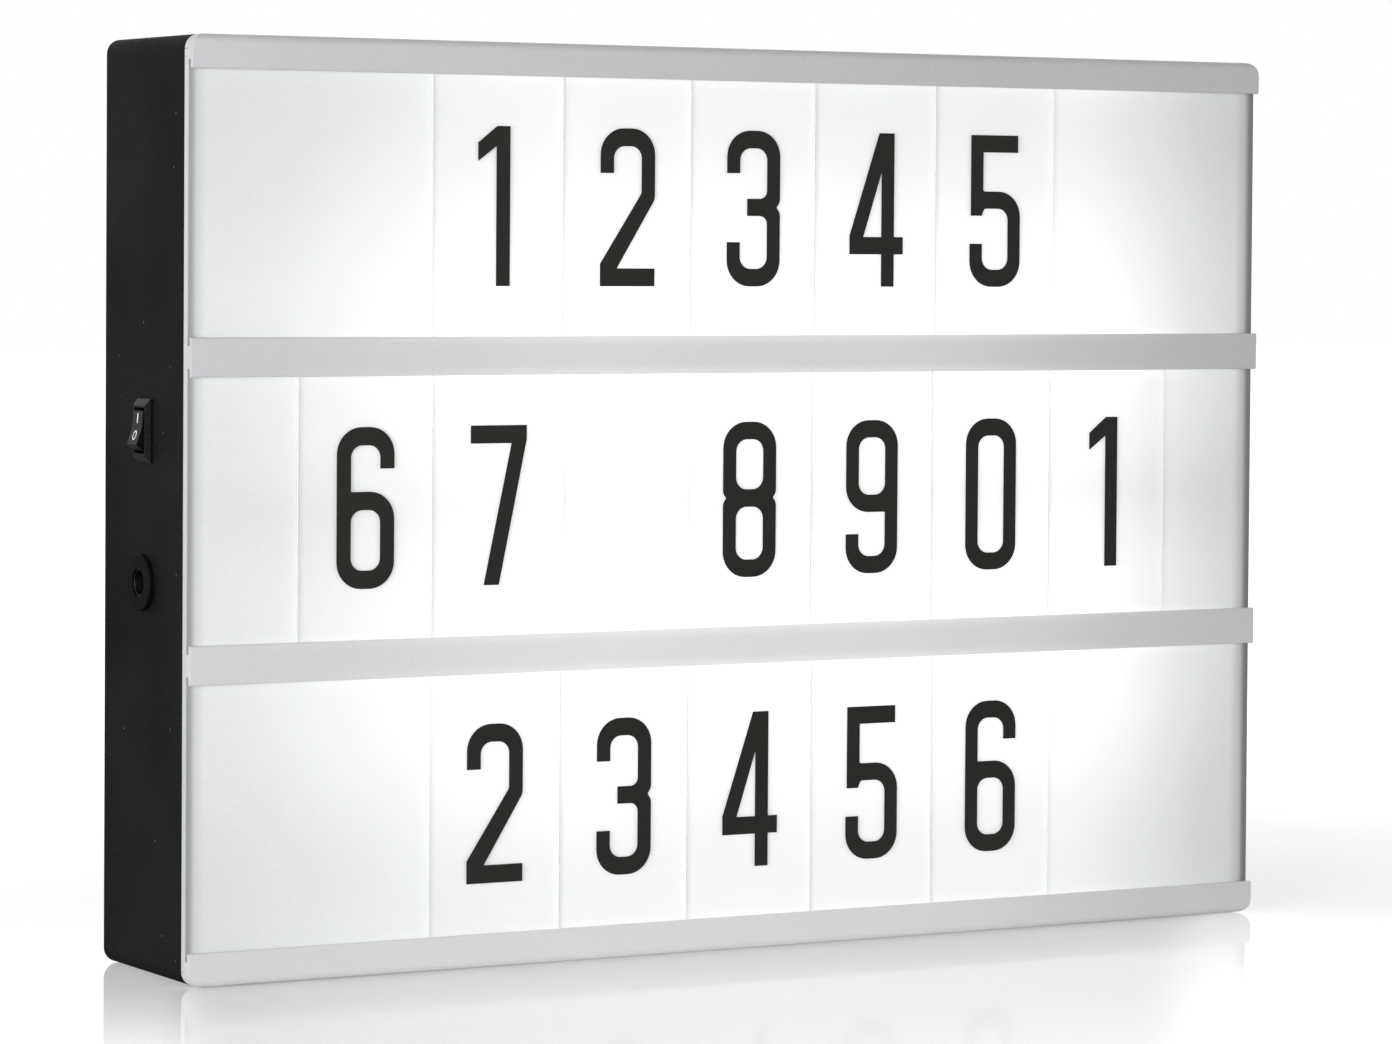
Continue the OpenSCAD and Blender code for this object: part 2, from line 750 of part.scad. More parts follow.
module battery_plates() color(nickel) {
    for (c = [0, 1], k = [0 : 2], end = [-1, 1]) {
        x = bay_x(c, end);
        block([min(x, x - end * plate_t), contact_y - plate_w / 2, bay_z(k) - plate_w / 2],
              [max(x, x - end * plate_t), contact_y + plate_w / 2, bay_z(k) + plate_w / 2]);
        if (end != coil_end(c, k)) {
            near = x - end * (plate_t - eps);
            far = near - end * bump_t;
            rod_x(contact_y, bay_z(k), bump_d, min(near, far), max(near, far));
        }
    }
    for (k = [0, 1]) {
        block([x_tray_tab, contact_y - plate_t / 2, bay_z(k) - tray_tab_w / 2],
              [bay_x(0, -1) + plate_t / 2, contact_y + plate_t / 2, bay_z(k) + tray_tab_w / 2]);
    }
}

// Conical contact coils, wide at the plate.
module battery_springs() color(nickel) {
    for (c = [0, 1], k = [0 : 2]) {
        end = coil_end(c, k);
        translate([bay_x(c, end) - end * (plate_t + spring_wire_r), contact_y, bay_z(k)])
            mirror([end > 0 ? 1 : 0, 0, 0]) contact_coil();
    }
}

// One coil, from its wide end at x = 0 along +X.
module contact_coil() {
    steps = 8 * spring_turns;
    tube([
        for (i = [0 : steps])
            let (f = i / steps, r = spring_r + (spring_tip_r - spring_r) * f)
                [f * spring_l, r * cos(360 * spring_turns * f), r * sin(360 * spring_turns * f)]
    ], spring_wire_r, 6);
}

module battery_door() color(case_black) {
    top = open_low + open_h - door_gap;
    half = open_w / 2 - door_gap;
    difference() {
        union() {
            block([-half, y_back - door_t, hinge_z], [half, y_back, top]);
            rod_x(hinge_y, hinge_z, 2 * hinge_r, -half, half);
        }
        for (side = [-1, 1]) {
            x = side * (tongue_w / 2 + tongue_slot / 2);
            block([x - tongue_slot / 2, y_back - door_t - 1, top - tongue_l],
                  [x + tongue_slot / 2, y_back + 1, top + 1]);
        }
        for (k = [0 : 2]) {
            z = top - tongue_l + grip_rise + grip_pitch * k;
            block([-grip_w / 2, y_back - grip_depth, z], [grip_w / 2, y_back + 1, z + grip_h]);
        }
    }
    nose_top = open_low + open_h - ledge - 0.15;
    block([-nose_w / 2, y_back - door_t - nose_t, nose_top - nose_h],
          [nose_w / 2, y_back - door_t + eps, nose_top]);
    for (x = [-tab_x, tab_x]) {
        block([x - tab_w / 2, hinge_y - tab_reach, hinge_z - tab_root / 2],
              [x + tab_w / 2, hinge_y - hinge_r / 2, hinge_z + tab_root]);
        block([x - tab_w / 2, hinge_y - tab_reach, hinge_z - tab_drop],
              [x + tab_w / 2, hinge_y - tab_reach + tab_t, hinge_z + tab_root]);
    }
}

// ---- screws ----

module back_screws() color(steel) {
    for (s = case_screws) {
        translate([s[0], y_back - 0.1, s[1]]) rotate([-90, 0, 0])
            flat_screw(screw_d, case_screw_l, screw_head_d, screw_head_h);
    }
}

module panel_screws() color(steel) {
    for (s = studs) {
        translate([s[0], y_frame + stud_l, s[1]]) rotate([-90, 0, 0])
            pan_screw(panel_screw_d, panel_screw_l, panel_screw_head_d, pan_head_h);
    }
}

module reflector_screws() color(steel) {
    for (p = posts) {
        translate([p[0], y_reflector, p[1]]) rotate([90, 0, 0])
            pan_screw(screw_d, post_screw_l, screw_head_d, pan_head_h);
    }
}

module tray_screws() color(steel) {
    for (x = [-ear_x, ear_x], z = [tray_z - ear_z, tray_z + ear_z]) {
        translate([x, y_inside - tray_boss_l - ear_t, z]) rotate([90, 0, 0])
            pan_screw(screw_d, tray_screw_l, screw_head_d, pan_head_h);
    }
}

// ---- switch ----

module switch_body() color("#141416") difference() {
    union() {
        bezel();
        block([-x_side - eps, switch_y - housing_w / 2, switch_z - housing_h / 2],
              [-x_wall + housing_l, switch_y + housing_w / 2, switch_z + housing_h / 2]);
        for (side = [0, 1]) {
            translate([0, 0, switch_z]) mirror([0, 0, side]) translate([0, 0, -switch_z]) snap_wing();
        }
    }
    block([-x_side - bezel_t - 1, switch_y - housing_in_w / 2, switch_z - housing_in_h / 2],
          [x_floor, switch_y + housing_in_w / 2, switch_z + housing_in_h / 2]);
    rod_y(pivot_x, switch_z, rocker_pin_d + 0.1, switch_y - pin_hole_reach, switch_y + pin_hole_reach);
    for (z = [switch_z, switch_z - contact_arm]) {
        block([x_floor - 1, switch_y - terminal_w / 2 - slip, z - terminal_t / 2 - slip],
              [x_floor + floor_t + 1, switch_y + terminal_w / 2 + slip, z + terminal_t / 2 + slip]);
    }
}

// The bezel: a low base and four slopes up to a flat rim.
module bezel() intersection() {
    along_y(switch_y - bezel_w, switch_y + bezel_w) translate([0, switch_z])
        bezel_slope(bezel_h, bezel_end_inset);
    translate([0, switch_y, 0]) linear_extrude(2 * switch_z)
        bezel_slope(bezel_w, bezel_side_inset);
}

// Section of the bezel across its middle, w wide, its rim drawn in by inset: outwards is -X.
module bezel_slope(w, inset) {
    foot_x = -x_side;
    shoulder_x = -x_side - bezel_base_t;
    rim_x = -x_side - bezel_t;
    half = w / 2;
    rim = half - inset;
    polygon([
        [foot_x, -half],
        [shoulder_x, -half],
        [rim_x, -rim],
        [rim_x, rim],
        [shoulder_x, half],
        [foot_x, half]
    ]);
}

// The sprung wedge that holds the switch behind the wall.
module snap_wing() {
    top = switch_z + housing_h / 2;
    along_y(switch_y - snap_w / 2, switch_y + snap_w / 2) polygon([
        [-x_wall + 0.1, top - 0.2],
        [-x_wall + 0.1, top + snap_rise],
        [-x_wall + 0.1 + snap_l, top - 0.2]
    ]);
}

// Turns its children about the rocker's pins; a positive angle takes the upper end inwards.
module about_pivot(angle) {
    translate([pivot_x, switch_y, switch_z]) rotate([0, angle, 0]) children();
}

// The rocker as a side view about its pivot, as (outward, up).
module rocker_outline() {
    polygon([
        [rocker_mid_x, 0],
        [rocker_corner_x, rocker_corner_z],
        [rocker_tip_x, rocker_tip_z],
        [rocker_foot_x, rocker_foot_z],
        [rocker_foot_x, -rocker_foot_z],
        [rocker_tip_x, -rocker_tip_z],
        [rocker_corner_x, -rocker_corner_z]
    ]);
}

module switch_rocker() color("#1b1b1d") about_pivot(rocker_swing) difference() {
    union() {
        rotate([90, 0, 0]) mirror([1, 0, 0]) translate([0, 0, -rocker_w / 2])
            linear_extrude(rocker_w) rocker_outline();
        rotate([90, 0, 0]) cylinder(d = rocker_pin_d, h = rocker_w + 2 * rocker_pin_reach, center = true);
    }
    translate([-rocker_foot_x - 2, 0, 0]) rotate([0, 90, 0]) cylinder(d = plunger_d + 0.5, h = 3);
}

module switch_plunger() color(rail_white) about_pivot(rocker_swing) {
    tip_r = plunger_d / 2;
    rotate([0, 90, 0]) translate([0, 0, plunger_reach - tip_r - plunger_l])
        cylinder(d = plunger_d, h = plunger_l);
    translate([plunger_reach - tip_r, 0, 0]) sphere(d = plunger_d);
}

// The plunger's spring, in the rocker's bore.
module switch_spring() color(steel) about_pivot(rocker_swing) {
    steps = 8 * spring_turns;
    low = -rocker_foot_x - plunger_spring_l + 0.05;
    tube([
        for (i = [0 : steps])
            let (f = i / steps, turn = 360 * spring_turns * f)
                [low + plunger_spring_l * f, plunger_spring_r * cos(turn), plunger_spring_r * sin(turn)]
    ], plunger_wire_r, 6);
}

// The see-saw blade on its round fulcrum, its lower end pressed in while the switch is on.
module switch_contact() color(brass) {
    translate([blade_x, switch_y, switch_z]) rotate([0, -blade_swing, 0]) {
        block([-blade_t / 2, -blade_w / 2, -blade_l / 2], [blade_t / 2, blade_w / 2, blade_l / 2]);
        intersection() {
            rod_y(0, 0, 2 * fulcrum_r, -blade_w / 2, blade_w / 2);
            block([0, -blade_w, -fulcrum_r], [2 * fulcrum_r, blade_w, fulcrum_r]);
        }
    }
}

// The middle terminal, which the blade rocks on.
module switch_common() color(brass) {
    terminal(switch_z, blade_x + fulcrum_r + slip);
}

// The lower terminal, which the blade meets while the switch is on.
module switch_load() color(brass) {
    terminal(switch_z - contact_arm, blade_x + blade_t / 2 + 0.1 + contact_arm * tan(blade_swing));
}

module terminal(z, x0) {
    block([x0, switch_y - terminal_w / 2, z - terminal_t / 2],
          [x_floor + floor_t + terminal_l, switch_y + terminal_w / 2, z + terminal_t / 2]);
}

// ---- DC socket ----

module jack_body() color("#1b1b1d") difference() {
    union() {
        rod_x(jack_y, jack_z, jack_flange_d, x_jack + jack_bevel, x_jack + jack_flange_t);
        translate([x_jack, jack_y, jack_z]) rotate([0, 90, 0])
            cylinder(d1 = jack_flange_d - 2 * jack_bevel, d2 = jack_flange_d, h = jack_bevel + eps);
        rod_x(jack_y, jack_z, jack_barrel_d, x_jack + jack_flange_t - eps, x_jack_back);
    }
    rod_x(jack_y, jack_z, jack_bore_d + 2 * (jack_sleeve_t + slip), x_jack - 1, x_jack + jack_bore_l + slip);
    rod_x(jack_y, jack_z, jack_pin_d - 0.2 + 2 * slip, x_jack, x_jack_back + 1);
    rod_x(jack_y + jack_tab_y, jack_z, jack_link_d, x_jack + jack_bore_l - 1, x_jack_back + 1);
}

// The sleeve is the socket's outer contact and its bore.
module jack_sleeve() color(nickel) difference() {
    rod_x(jack_y, jack_z, jack_bore_d + 2 * jack_sleeve_t, x_jack + 0.4, x_jack + jack_bore_l);
    rod_x(jack_y, jack_z, jack_bore_d, x_jack - 1, x_jack + jack_bore_l + 1);
}

module jack_pin() color(brass) {
    tip = x_jack + jack_bore_l - jack_pin_l;
    rod_x(jack_y, jack_z, jack_pin_d, tip + jack_tip_l, x_jack + jack_bore_l);
    translate([tip, jack_y, jack_z]) rotate([0, 90, 0])
        cylinder(d1 = 0.6 * jack_pin_d, d2 = jack_pin_d, h = jack_tip_l + eps);
    rod_x(jack_y, jack_z, jack_pin_d - 0.2, x_jack + jack_bore_l - eps, x_jack_back);
}

module jack_washer() color("#101011") difference() {
    rod_x(jack_y, jack_z, jack_flange_d - 1, -x_side - jack_washer_t, -x_side);
    rod_x(jack_y, jack_z, jack_barrel_d + 0.2, -x_side - 1, -x_side + 1);
}

module jack_nut() color(nickel) difference() {
    translate([-x_wall, jack_y, jack_z]) rotate([0, 90, 0])
        cylinder(d = jack_nut_af / cos(30), h = jack_nut_t, $fn = 6);
    rod_x(jack_y, jack_z, jack_barrel_d + 2 * slip, -x_wall - 1, -x_wall + jack_nut_t + 1);
}

// The solder tabs of the pin and of the sleeve.
module jack_terminals() color(nickel) {
    for (y = [jack_y, jack_y + jack_tab_y]) {
        block([x_jack_back, y - jack_tab_t / 2, jack_z - jack_tab_w / 2],
              [x_jack_tab, y + jack_tab_t / 2, jack_z + jack_tab_w / 2]);
    }
    rod_x(jack_y + jack_tab_y, jack_z, jack_link_d - 2 * slip, x_jack + jack_bore_l, x_jack_back + eps);
}

// ---- leads ----

// The point that is the shares f of the way from a to b along X, Y and Z.
function part_way(a, b, f) = [for (i = [0 : 2]) a[i] + (b[i] - a[i]) * f[i]];
function way(a, b, shares) = [for (f = shares) part_way(a, b, f)];

// A curve's points, with its first and last spans drawn straight.
function straight_ends(q, n) = concat([q[0]], [for (i = [n : len(q) - 1 - n]) q[i]], [q[len(q) - 1]]);

// An insulated lead through the points p, butted to what it joins at both ends.
module lead(p, colour) color(colour) tube(straight_ends(curve(p, 5), 5), lead_r, 8);

// Through the reflector's hole on one side (-1 left, 1 right) and onto the board's pad.
function onto_pad(side, z) = [
    [side * x_hole, y_reflector_back + 1.5 * lead_stub, z],
    [side * x_hole, y_board + board_t / 2, z],
    [side * (x_hole - lead_stub), y_pad - lead_gap / 2, z],
    [side * pad_x, y_pad, z]
];
function reversed(list) = [for (i = [len(list) - 1 : -1 : 0]) list[i]];

module battery_lead_red() lead(concat(
    [tray_tab[1], tray_tab[1] - 2 * stub],
    way(tray_tab[1], common_tab, [[0.22, 0.05, 0.08], [0.45, 0.05, 0.48]]),
    way(tray_tab[1], common_tab, [[0.74, 0.16, 0.84], [0.92, 0.34, 0.98]]),
    [common_tab + 1.6 * stub + 7 * beside, common_tab + stub + beside, common_tab + beside]
), wire_red);

module battery_lead_black() lead(concat(
    [tray_tab[0], tray_tab[0] - 2 * stub],
    way(tray_tab[0], sleeve_tab, [[0.3, 0.12, 0.2], [0.6, 0.3, 0.8], [0.88, 0.4, 1.08]]),
    [sleeve_tab + 1.8 * stub + 5 * beside + 3 * above, sleeve_tab + stub + above, sleeve_tab + above]
), wire_black);

module jack_lead() lead(concat(
    [pin_tab, pin_tab + stub],
    way(pin_tab + stub, common_tab + stub, [[-0.8, 1.2, 0.16], [-0.8, 2.2, 0.5], [-0.9, 2.6, 0.84]]),
    [common_tab + stub - beside, common_tab - beside]
), wire_red);

module ground_lead() lead(concat(
    [sleeve_tab - above, sleeve_tab + stub - above],
    [sleeve_tab + 2 * stub + 4 * beside - 2 * above],
    [[-x_hole - 5 * lead_stub, y_lead, jack_z - 3 * lead_stub]],
    [[-x_hole - 2 * lead_stub, y_lead, board_z[0] + lead_stub]],
    onto_pad(-1, board_z[0])
), wire_black);

module feed_lead() lead(concat(
    [load_tab, load_tab + stub],
    [load_tab + 2.7 * stub + 2 * beside + 3 * above, load_tab + 2.8 * stub + 6 * beside + 9 * above],
    [[-x_hole - 7 * lead_stub, y_lead, board_z[1] - 5 * lead_stub]],
    [[-x_hole - 3 * lead_stub, y_lead, board_z[1] - 2 * lead_stub]],
    onto_pad(-1, board_z[1])
), wire_red);

// A lead from board to board at their right ends, bowed out sideways by bow.
// It leaves the lower board d above its middle, and meets the upper board d below.
module link_lead(d, bow, colour) lead(concat(
    reversed(onto_pad(1, board_z[0] + d)),
    [[x_hole + bow, y_lead, board_z[0] + link_rise], [x_hole + bow, y_lead, board_z[1] - link_rise]],
    onto_pad(1, board_z[1] - d)
), colour);

module link_lead_red() link_lead(link_gap, link_bow, wire_red);
module link_lead_black() link_lead(-link_gap, link_bow_2, wire_black);

side_frame();
back_panel();
front_panel();
panel_studs();
rail_top();
rail_upper();
rail_lower();
rail_bottom();
for (row = [0 : row_count - 1], slot = [0 : tile_count(row) - 1]) {
    tile(row, slot);
}
reflector();
led_board_upper();
led_board_lower();
leds();
resistors();
board_rivets();
battery_tray();
battery_door();
battery_springs();
battery_plates();
back_screws();
panel_screws();
reflector_screws();
tray_screws();
switch_body();
switch_rocker();
switch_plunger();
switch_spring();
switch_contact();
switch_common();
switch_load();
jack_body();
jack_washer();
jack_nut();
jack_sleeve();
jack_pin();
jack_terminals();
battery_lead_red();
battery_lead_black();
jack_lead();
ground_lead();
feed_lead();
link_lead_red();
link_lead_black();
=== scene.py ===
import bpy
import bmesh
import math
from mathutils import Matrix, Vector
from mathutils.geometry import tessellate_polygon


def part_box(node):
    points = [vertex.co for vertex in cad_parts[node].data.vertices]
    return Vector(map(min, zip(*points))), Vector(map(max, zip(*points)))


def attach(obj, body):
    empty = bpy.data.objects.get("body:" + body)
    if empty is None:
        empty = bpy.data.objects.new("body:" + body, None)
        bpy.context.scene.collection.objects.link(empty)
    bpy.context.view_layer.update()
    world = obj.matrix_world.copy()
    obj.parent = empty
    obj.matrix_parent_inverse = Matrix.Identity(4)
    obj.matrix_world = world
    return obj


# The looks of a cinema light box: materials on the CAD nodes, printed numerals and switch marks, a table,
# lights and the camera. Shader coordinates are in millimetres, and Blender's own places in metres.
MM = 0.001
PHOTO_W, PHOTO_H = 1392, 1044

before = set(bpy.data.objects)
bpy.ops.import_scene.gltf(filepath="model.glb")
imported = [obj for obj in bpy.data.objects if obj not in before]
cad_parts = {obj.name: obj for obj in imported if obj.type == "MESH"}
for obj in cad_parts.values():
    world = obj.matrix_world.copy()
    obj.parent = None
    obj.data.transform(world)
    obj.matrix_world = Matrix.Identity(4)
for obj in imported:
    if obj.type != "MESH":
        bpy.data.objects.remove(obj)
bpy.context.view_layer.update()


# ---- camera ----

# Angles in degrees, places in millimetres, and the lens and the row of the axis in the photo's pixels.
CAMERA = {
    "yaw": 29.673, "pitch": -1.64, "roll": 0.392, "distance": 1258.0,
    "target": (-2.483, 0.0, 137.46), "focal_px": 5068.0, "axis_row": 384.5,
}
SENSOR_MM = 36.0
CLIP_M = 50


def make_camera():
    yaw, pitch, roll = (math.radians(CAMERA[k]) for k in ("yaw", "pitch", "roll"))
    ahead = Vector((math.sin(yaw) * math.cos(pitch), math.cos(yaw) * math.cos(pitch), math.sin(pitch)))
    level = Vector((math.cos(yaw), -math.sin(yaw), 0))
    upright = level.cross(ahead)
    right = level * math.cos(roll) + upright * math.sin(roll)
    up = upright * math.cos(roll) - level * math.sin(roll)
    data = bpy.data.cameras.new("camera")
    data.sensor_fit = "HORIZONTAL"
    data.sensor_width = SENSOR_MM
    data.lens = SENSOR_MM * CAMERA["focal_px"] / PHOTO_W
    data.shift_y = (CAMERA["axis_row"] - PHOTO_H / 2) / PHOTO_W
    data.clip_end = CLIP_M
    camera = bpy.data.objects.new("camera", data)
    bpy.context.scene.collection.objects.link(camera)
    turn = Matrix((right, up, -ahead)).transposed().to_4x4()
    place = Vector(CAMERA["target"]) - ahead * CAMERA["distance"]
    camera.matrix_world = Matrix.Translation(place * MM) @ turn
    bpy.context.scene.camera = camera


# ---- node helpers ----

def link(tree, value, socket):
    """Joins a socket to an output, or sets it to a plain value."""
    if isinstance(value, bpy.types.NodeSocket):
        tree.links.new(value, socket)
    else:
        socket.default_value = value


def math_node(tree, operation, a, b=0.0, c=0.0):
    node = tree.nodes.new("ShaderNodeMath")
    node.operation = operation
    for value, socket in zip((a, b, c), node.inputs):
        link(tree, value, socket)
    return node.outputs[0]


def span(tree, value, low, high, to_low=0.0, to_high=1.0):
    """Takes the range low..high smoothly to to_low..to_high, and holds the ends outside it."""
    node = tree.nodes.new("ShaderNodeMapRange")
    node.interpolation_type = "SMOOTHSTEP"
    settings = {"Value": value, "From Min": low, "From Max": high, "To Min": to_low, "To Max": to_high}
    for name, setting in settings.items():
        link(tree, setting, node.inputs[name])
    return node.outputs["Result"]


def mix_colour(tree, share, a, b):
    """A Mix node set to colours: its inputs 0, 6 and 7 and its output 2 are the ones in use."""
    node = tree.nodes.new("ShaderNodeMix")
    node.data_type = "RGBA"
    for value, index in ((share, 0), (a, 6), (b, 7)):
        link(tree, value, node.inputs[index])
    return node.outputs[2]


def noise(tree, vector, scale, detail=2.0, roughness=0.5):
    node = tree.nodes.new("ShaderNodeTexNoise")
    link(tree, vector, node.inputs["Vector"])
    link(tree, scale, node.inputs["Scale"])
    node.inputs["Detail"].default_value = detail
    node.inputs["Roughness"].default_value = roughness
    return node.outputs["Fac"]


def object_mm(tree):
    """Object coordinates in millimetres."""
    where = tree.nodes.new("ShaderNodeTexCoord").outputs["Object"]
    scale = tree.nodes.new("ShaderNodeVectorMath")
    scale.operation = "SCALE"
    link(tree, where, scale.inputs[0])
    scale.inputs["Scale"].default_value = 1 / MM
    return scale.outputs[0]


def surface_normal(tree):
    return tree.nodes.new("ShaderNodeTexCoord").outputs["Normal"]


def product(tree, first, *others):
    """The product of any number of values."""
    for other in others:
        first = math_node(tree, "MULTIPLY", first, other)
    return first


def axes(tree, vector):
    """The vector's x, y and z."""
    split = tree.nodes.new("ShaderNodeSeparateXYZ")
    link(tree, vector, split.inputs[0])
    return split.outputs


def group_node(tree, group, **values):
    node = tree.nodes.new("ShaderNodeGroup")
    node.node_tree = group
    for name, value in values.items():
        link(tree, value, node.inputs[name.replace("_", " ")])
    return node.outputs


def new_group(name, inputs, outputs):
    group = bpy.data.node_groups.new(name, "ShaderNodeTree")
    for label, kind, default in inputs:
        socket = group.interface.new_socket(name=label, in_out="INPUT", socket_type=kind)
        socket.default_value = default
    for label, kind in outputs:
        group.interface.new_socket(name=label, in_out="OUTPUT", socket_type=kind)
    start = group.nodes.new("NodeGroupInput").outputs
    end = group.nodes.new("NodeGroupOutput").inputs
    return group, start, end


def opaque(colour):
    return (*colour, 1)


def grey(value):
    return (value, value, value)


# ---- the moulded surface ----

FLOAT, COLOUR, VECTOR = "NodeSocketFloat", "NodeSocketColor", "NodeSocketVector"
NOISE_RANGE = (0.3, 0.7)
FINE_SHARE, SLOW_SHARE = 0.6, 0.4
SLOW_SCALE = 0.02
EDGE_SAMPLES = 4

# Dust lies in cells of 5 mm. Cells whose random value is above DUST_FROM have a speck, which grows with
# that value up to a radius of DUST_SIZE, counted in cells.
DUST_SCALE = 0.2
DUST_FROM, DUST_SIZE = 0.55, 0.055
DUST_COLOUR = opaque(grey(0.2))


def moulded_group():
    """Colour, roughness and normal of a moulded surface, with grain, slow drift, dust and soft edges."""
    group, start, end = new_group(
        "moulded",
        [("Dark", COLOUR, opaque(grey(0.02))), ("Light", COLOUR, opaque(grey(0.03))),
         ("Smooth", FLOAT, 0.4), ("Rough", FLOAT, 0.6), ("Grain mm", FLOAT, 0.5),
         ("Relief mm", FLOAT, 0.02), ("Dust", FLOAT, 0.0), ("Edge mm", FLOAT, 0.2)],
        [("Color", COLOUR), ("Roughness", FLOAT), ("Normal", VECTOR)])
    where = object_mm(group)
    per_mm = math_node(group, "DIVIDE", 1.0, start["Grain mm"])
    fine = noise(group, where, per_mm, detail=3.0, roughness=0.6)
    slow = noise(group, where, SLOW_SCALE)
    tone = math_node(group, "ADD", product(group, fine, FINE_SHARE), product(group, slow, SLOW_SHARE))
    colour = mix_colour(group, span(group, tone, *NOISE_RANGE), start["Dark"], start["Light"])
    dusty = product(group, dust(group, where), start["Dust"])
    link(group, mix_colour(group, dusty, colour, DUST_COLOUR), end["Color"])
    roughness = span(group, fine, *NOISE_RANGE, start["Smooth"], start["Rough"])
    link(group, roughness, end["Roughness"])
    soft = group.nodes.new("ShaderNodeBevel")
    soft.samples = EDGE_SAMPLES
    link(group, product(group, start["Edge mm"], MM), soft.inputs["Radius"])
    bump = group.nodes.new("ShaderNodeBump")
    link(group, product(group, start["Relief mm"], MM), bump.inputs["Distance"])
    link(group, fine, bump.inputs["Height"])
    link(group, soft.outputs[0], bump.inputs["Normal"])
    link(group, bump.outputs[0], end["Normal"])
    return group


def dust(tree, where):
    """1 on sparse round specks, up to half a millimetre across, and 0 elsewhere."""
    cell = tree.nodes.new("ShaderNodeTexVoronoi")
    link(tree, where, cell.inputs["Vector"])
    cell.inputs["Scale"].default_value = DUST_SCALE
    picked = axes(tree, cell.outputs["Color"])[0]
    size = span(tree, picked, DUST_FROM, 1.0, 0.0, DUST_SIZE)
    return math_node(tree, "LESS_THAN", cell.outputs["Distance"], size)


MOULDED = moulded_group()


def new_material(name):
    material = bpy.data.materials.new(name)
    material.use_nodes = True
    tree = material.node_tree
    return material, tree, tree.nodes["Principled BSDF"]


def moulded(name, dark, light, smooth, rough, grain, relief, dusty=0.0, edge=0.2, **sockets):
    """A material with tones from dark to light and roughness from smooth to rough. Grain, relief and edge
    are in millimetres, dusty is the dust's opacity, and sockets are further values of its shader."""
    material, tree, shader = new_material(name)
    out = group_node(tree, MOULDED, Dark=opaque(dark), Light=opaque(light), Smooth=smooth,
                     Rough=rough, Grain_mm=grain, Relief_mm=relief, Dust=dusty, Edge_mm=edge)
    link(tree, out["Color"], shader.inputs["Base Color"])
    link(tree, out["Roughness"], shader.inputs["Roughness"])
    link(tree, out["Normal"], shader.inputs["Normal"])
    for socket, value in sockets.items():
        shader.inputs[socket.replace("_", " ")].default_value = value
    return material


# ---- materials ----

# In millimetres. Both LED boards lie behind a middle rail. Each row lies between two rail edges, which are
# RAIL_HALF from the heights RAIL_FOOT, RAIL_FOOT + 2 * HALF_SPACING and so on.
BOARD_LOW, BOARD_HIGH = 74.467, 145.533
BOARD_MIDDLE, BOARD_REACH = (BOARD_LOW + BOARD_HIGH) / 2, (BOARD_HIGH - BOARD_LOW) / 2
RAIL_FOOT, HALF_SPACING, RAIL_HALF = 3.4, 35.533, 4.6

# Each of these is a span: from and to, then the values there, which are 0 and 1 where they are left out.
# From and to are places along x for LEFT, RIGHT and END, distances from a board for UP and from a rail's
# edge for BRIM, all in millimetres, and values of the noise for DRIFT.
GLOW_LEFT = (-40.0, -160.0, 1.0, 0.33)
GLOW_RIGHT = (88.0, 156.0, 1.0, 0.36)
GLOW_UP = (8.0, 60.0, 1.12, 0.72)
GLOW_DRIFT = (*NOISE_RANGE, 0.97, 1.03)
# BRIM raises the glow by a tenth within 2 mm of a rail's edge. This is painted light: it fills the shade
# under the rails and stands in for light leaking past them.
GLOW_PAINTED_BRIM = (0.0, 2.0, 1.1, 1.0)
GLOW_END_LEFT, GLOW_END_RIGHT = (-149.5, -145.0), (148.4, 144.0)
LIT_LEFT, LIT_RIGHT = (-149.4, -147.6), (149.2, 147.2)

# Likewise, by the distance from the middle for ACROSS and from a board for BOARD and EDGE, and by the
# height for BOTTOM and FOOT. Together they make the rails' glow, which is painted light. Along the middle
# rails it stands in for the panel's light shining through them. BOTTOM and FOOT, brighter towards the
# floor, stand in for light bounced off the floor.
RAIL_GLOW_ACROSS = (35.0, 148.0, 1.0, 0.0)
RAIL_GLOW_BOARD = (10.0, 40.0, 0.15, 0.0)
RAIL_PAINTED_BOTTOM = (40.0, 8.0, 0.0, 0.045)
RAIL_GLOW_EDGE = (2.0, RAIL_HALF, 1.0, 1.6)
RAIL_PAINTED_FOOT = (150.0, 70.0, 0.0, 0.06)

GLOW_STRENGTH = 0.6
GLOW_DIM, GLOW_FULL = (0.78, 0.84, 0.82, 1), (1.0, 1.0, 0.99, 1)
OPAL_DARK, OPAL_LIGHT = (0.66, 0.67, 0.67, 1), (0.7, 0.71, 0.71, 1)
# Over the frame the opal's colour is lighter at the left end and darker at the right end: painted light
# and painted shade.
OVER_FRAME_PAINTED_LIGHT, OVER_FRAME_PAINTED_SHADE = (0.38, 0.4, 0.41, 1), (0.24, 0.24, 0.25, 1)
OVER_FRAME_TURN = (-10.0, 10.0)
RAIL_GLOW_COLOUR = (1, 1, 0.99, 1)

TILE_COLOUR, TILE_EDGE_COLOUR = (0.92, 0.92, 0.92, 1), (0.86, 0.86, 0.87, 1)
CLOUD_SCALE, SMEAR_SCALE = 0.08, 0.5
TILE_CLOUD = (0.35, 0.65, 0.015, 0.03)
TILE_ROUGHNESS = (*NOISE_RANGE, 0.22, 0.34)


def from_board_mm(tree, z):
    """Height above or below the nearer LED board."""
    from_middle = math_node(tree, "ABSOLUTE", math_node(tree, "SUBTRACT", z, BOARD_MIDDLE))
    return math_node(tree, "ABSOLUTE", math_node(tree, "SUBTRACT", from_middle, BOARD_REACH))


def from_rail_mm(tree, z):
    """How far a height in one of the rows lies from the nearer rail's edge."""
    from_foot = math_node(tree, "SUBTRACT", z, RAIL_FOOT)
    from_middle = math_node(tree, "PINGPONG", from_foot, HALF_SPACING)
    return math_node(tree, "SUBTRACT", from_middle, RAIL_HALF)


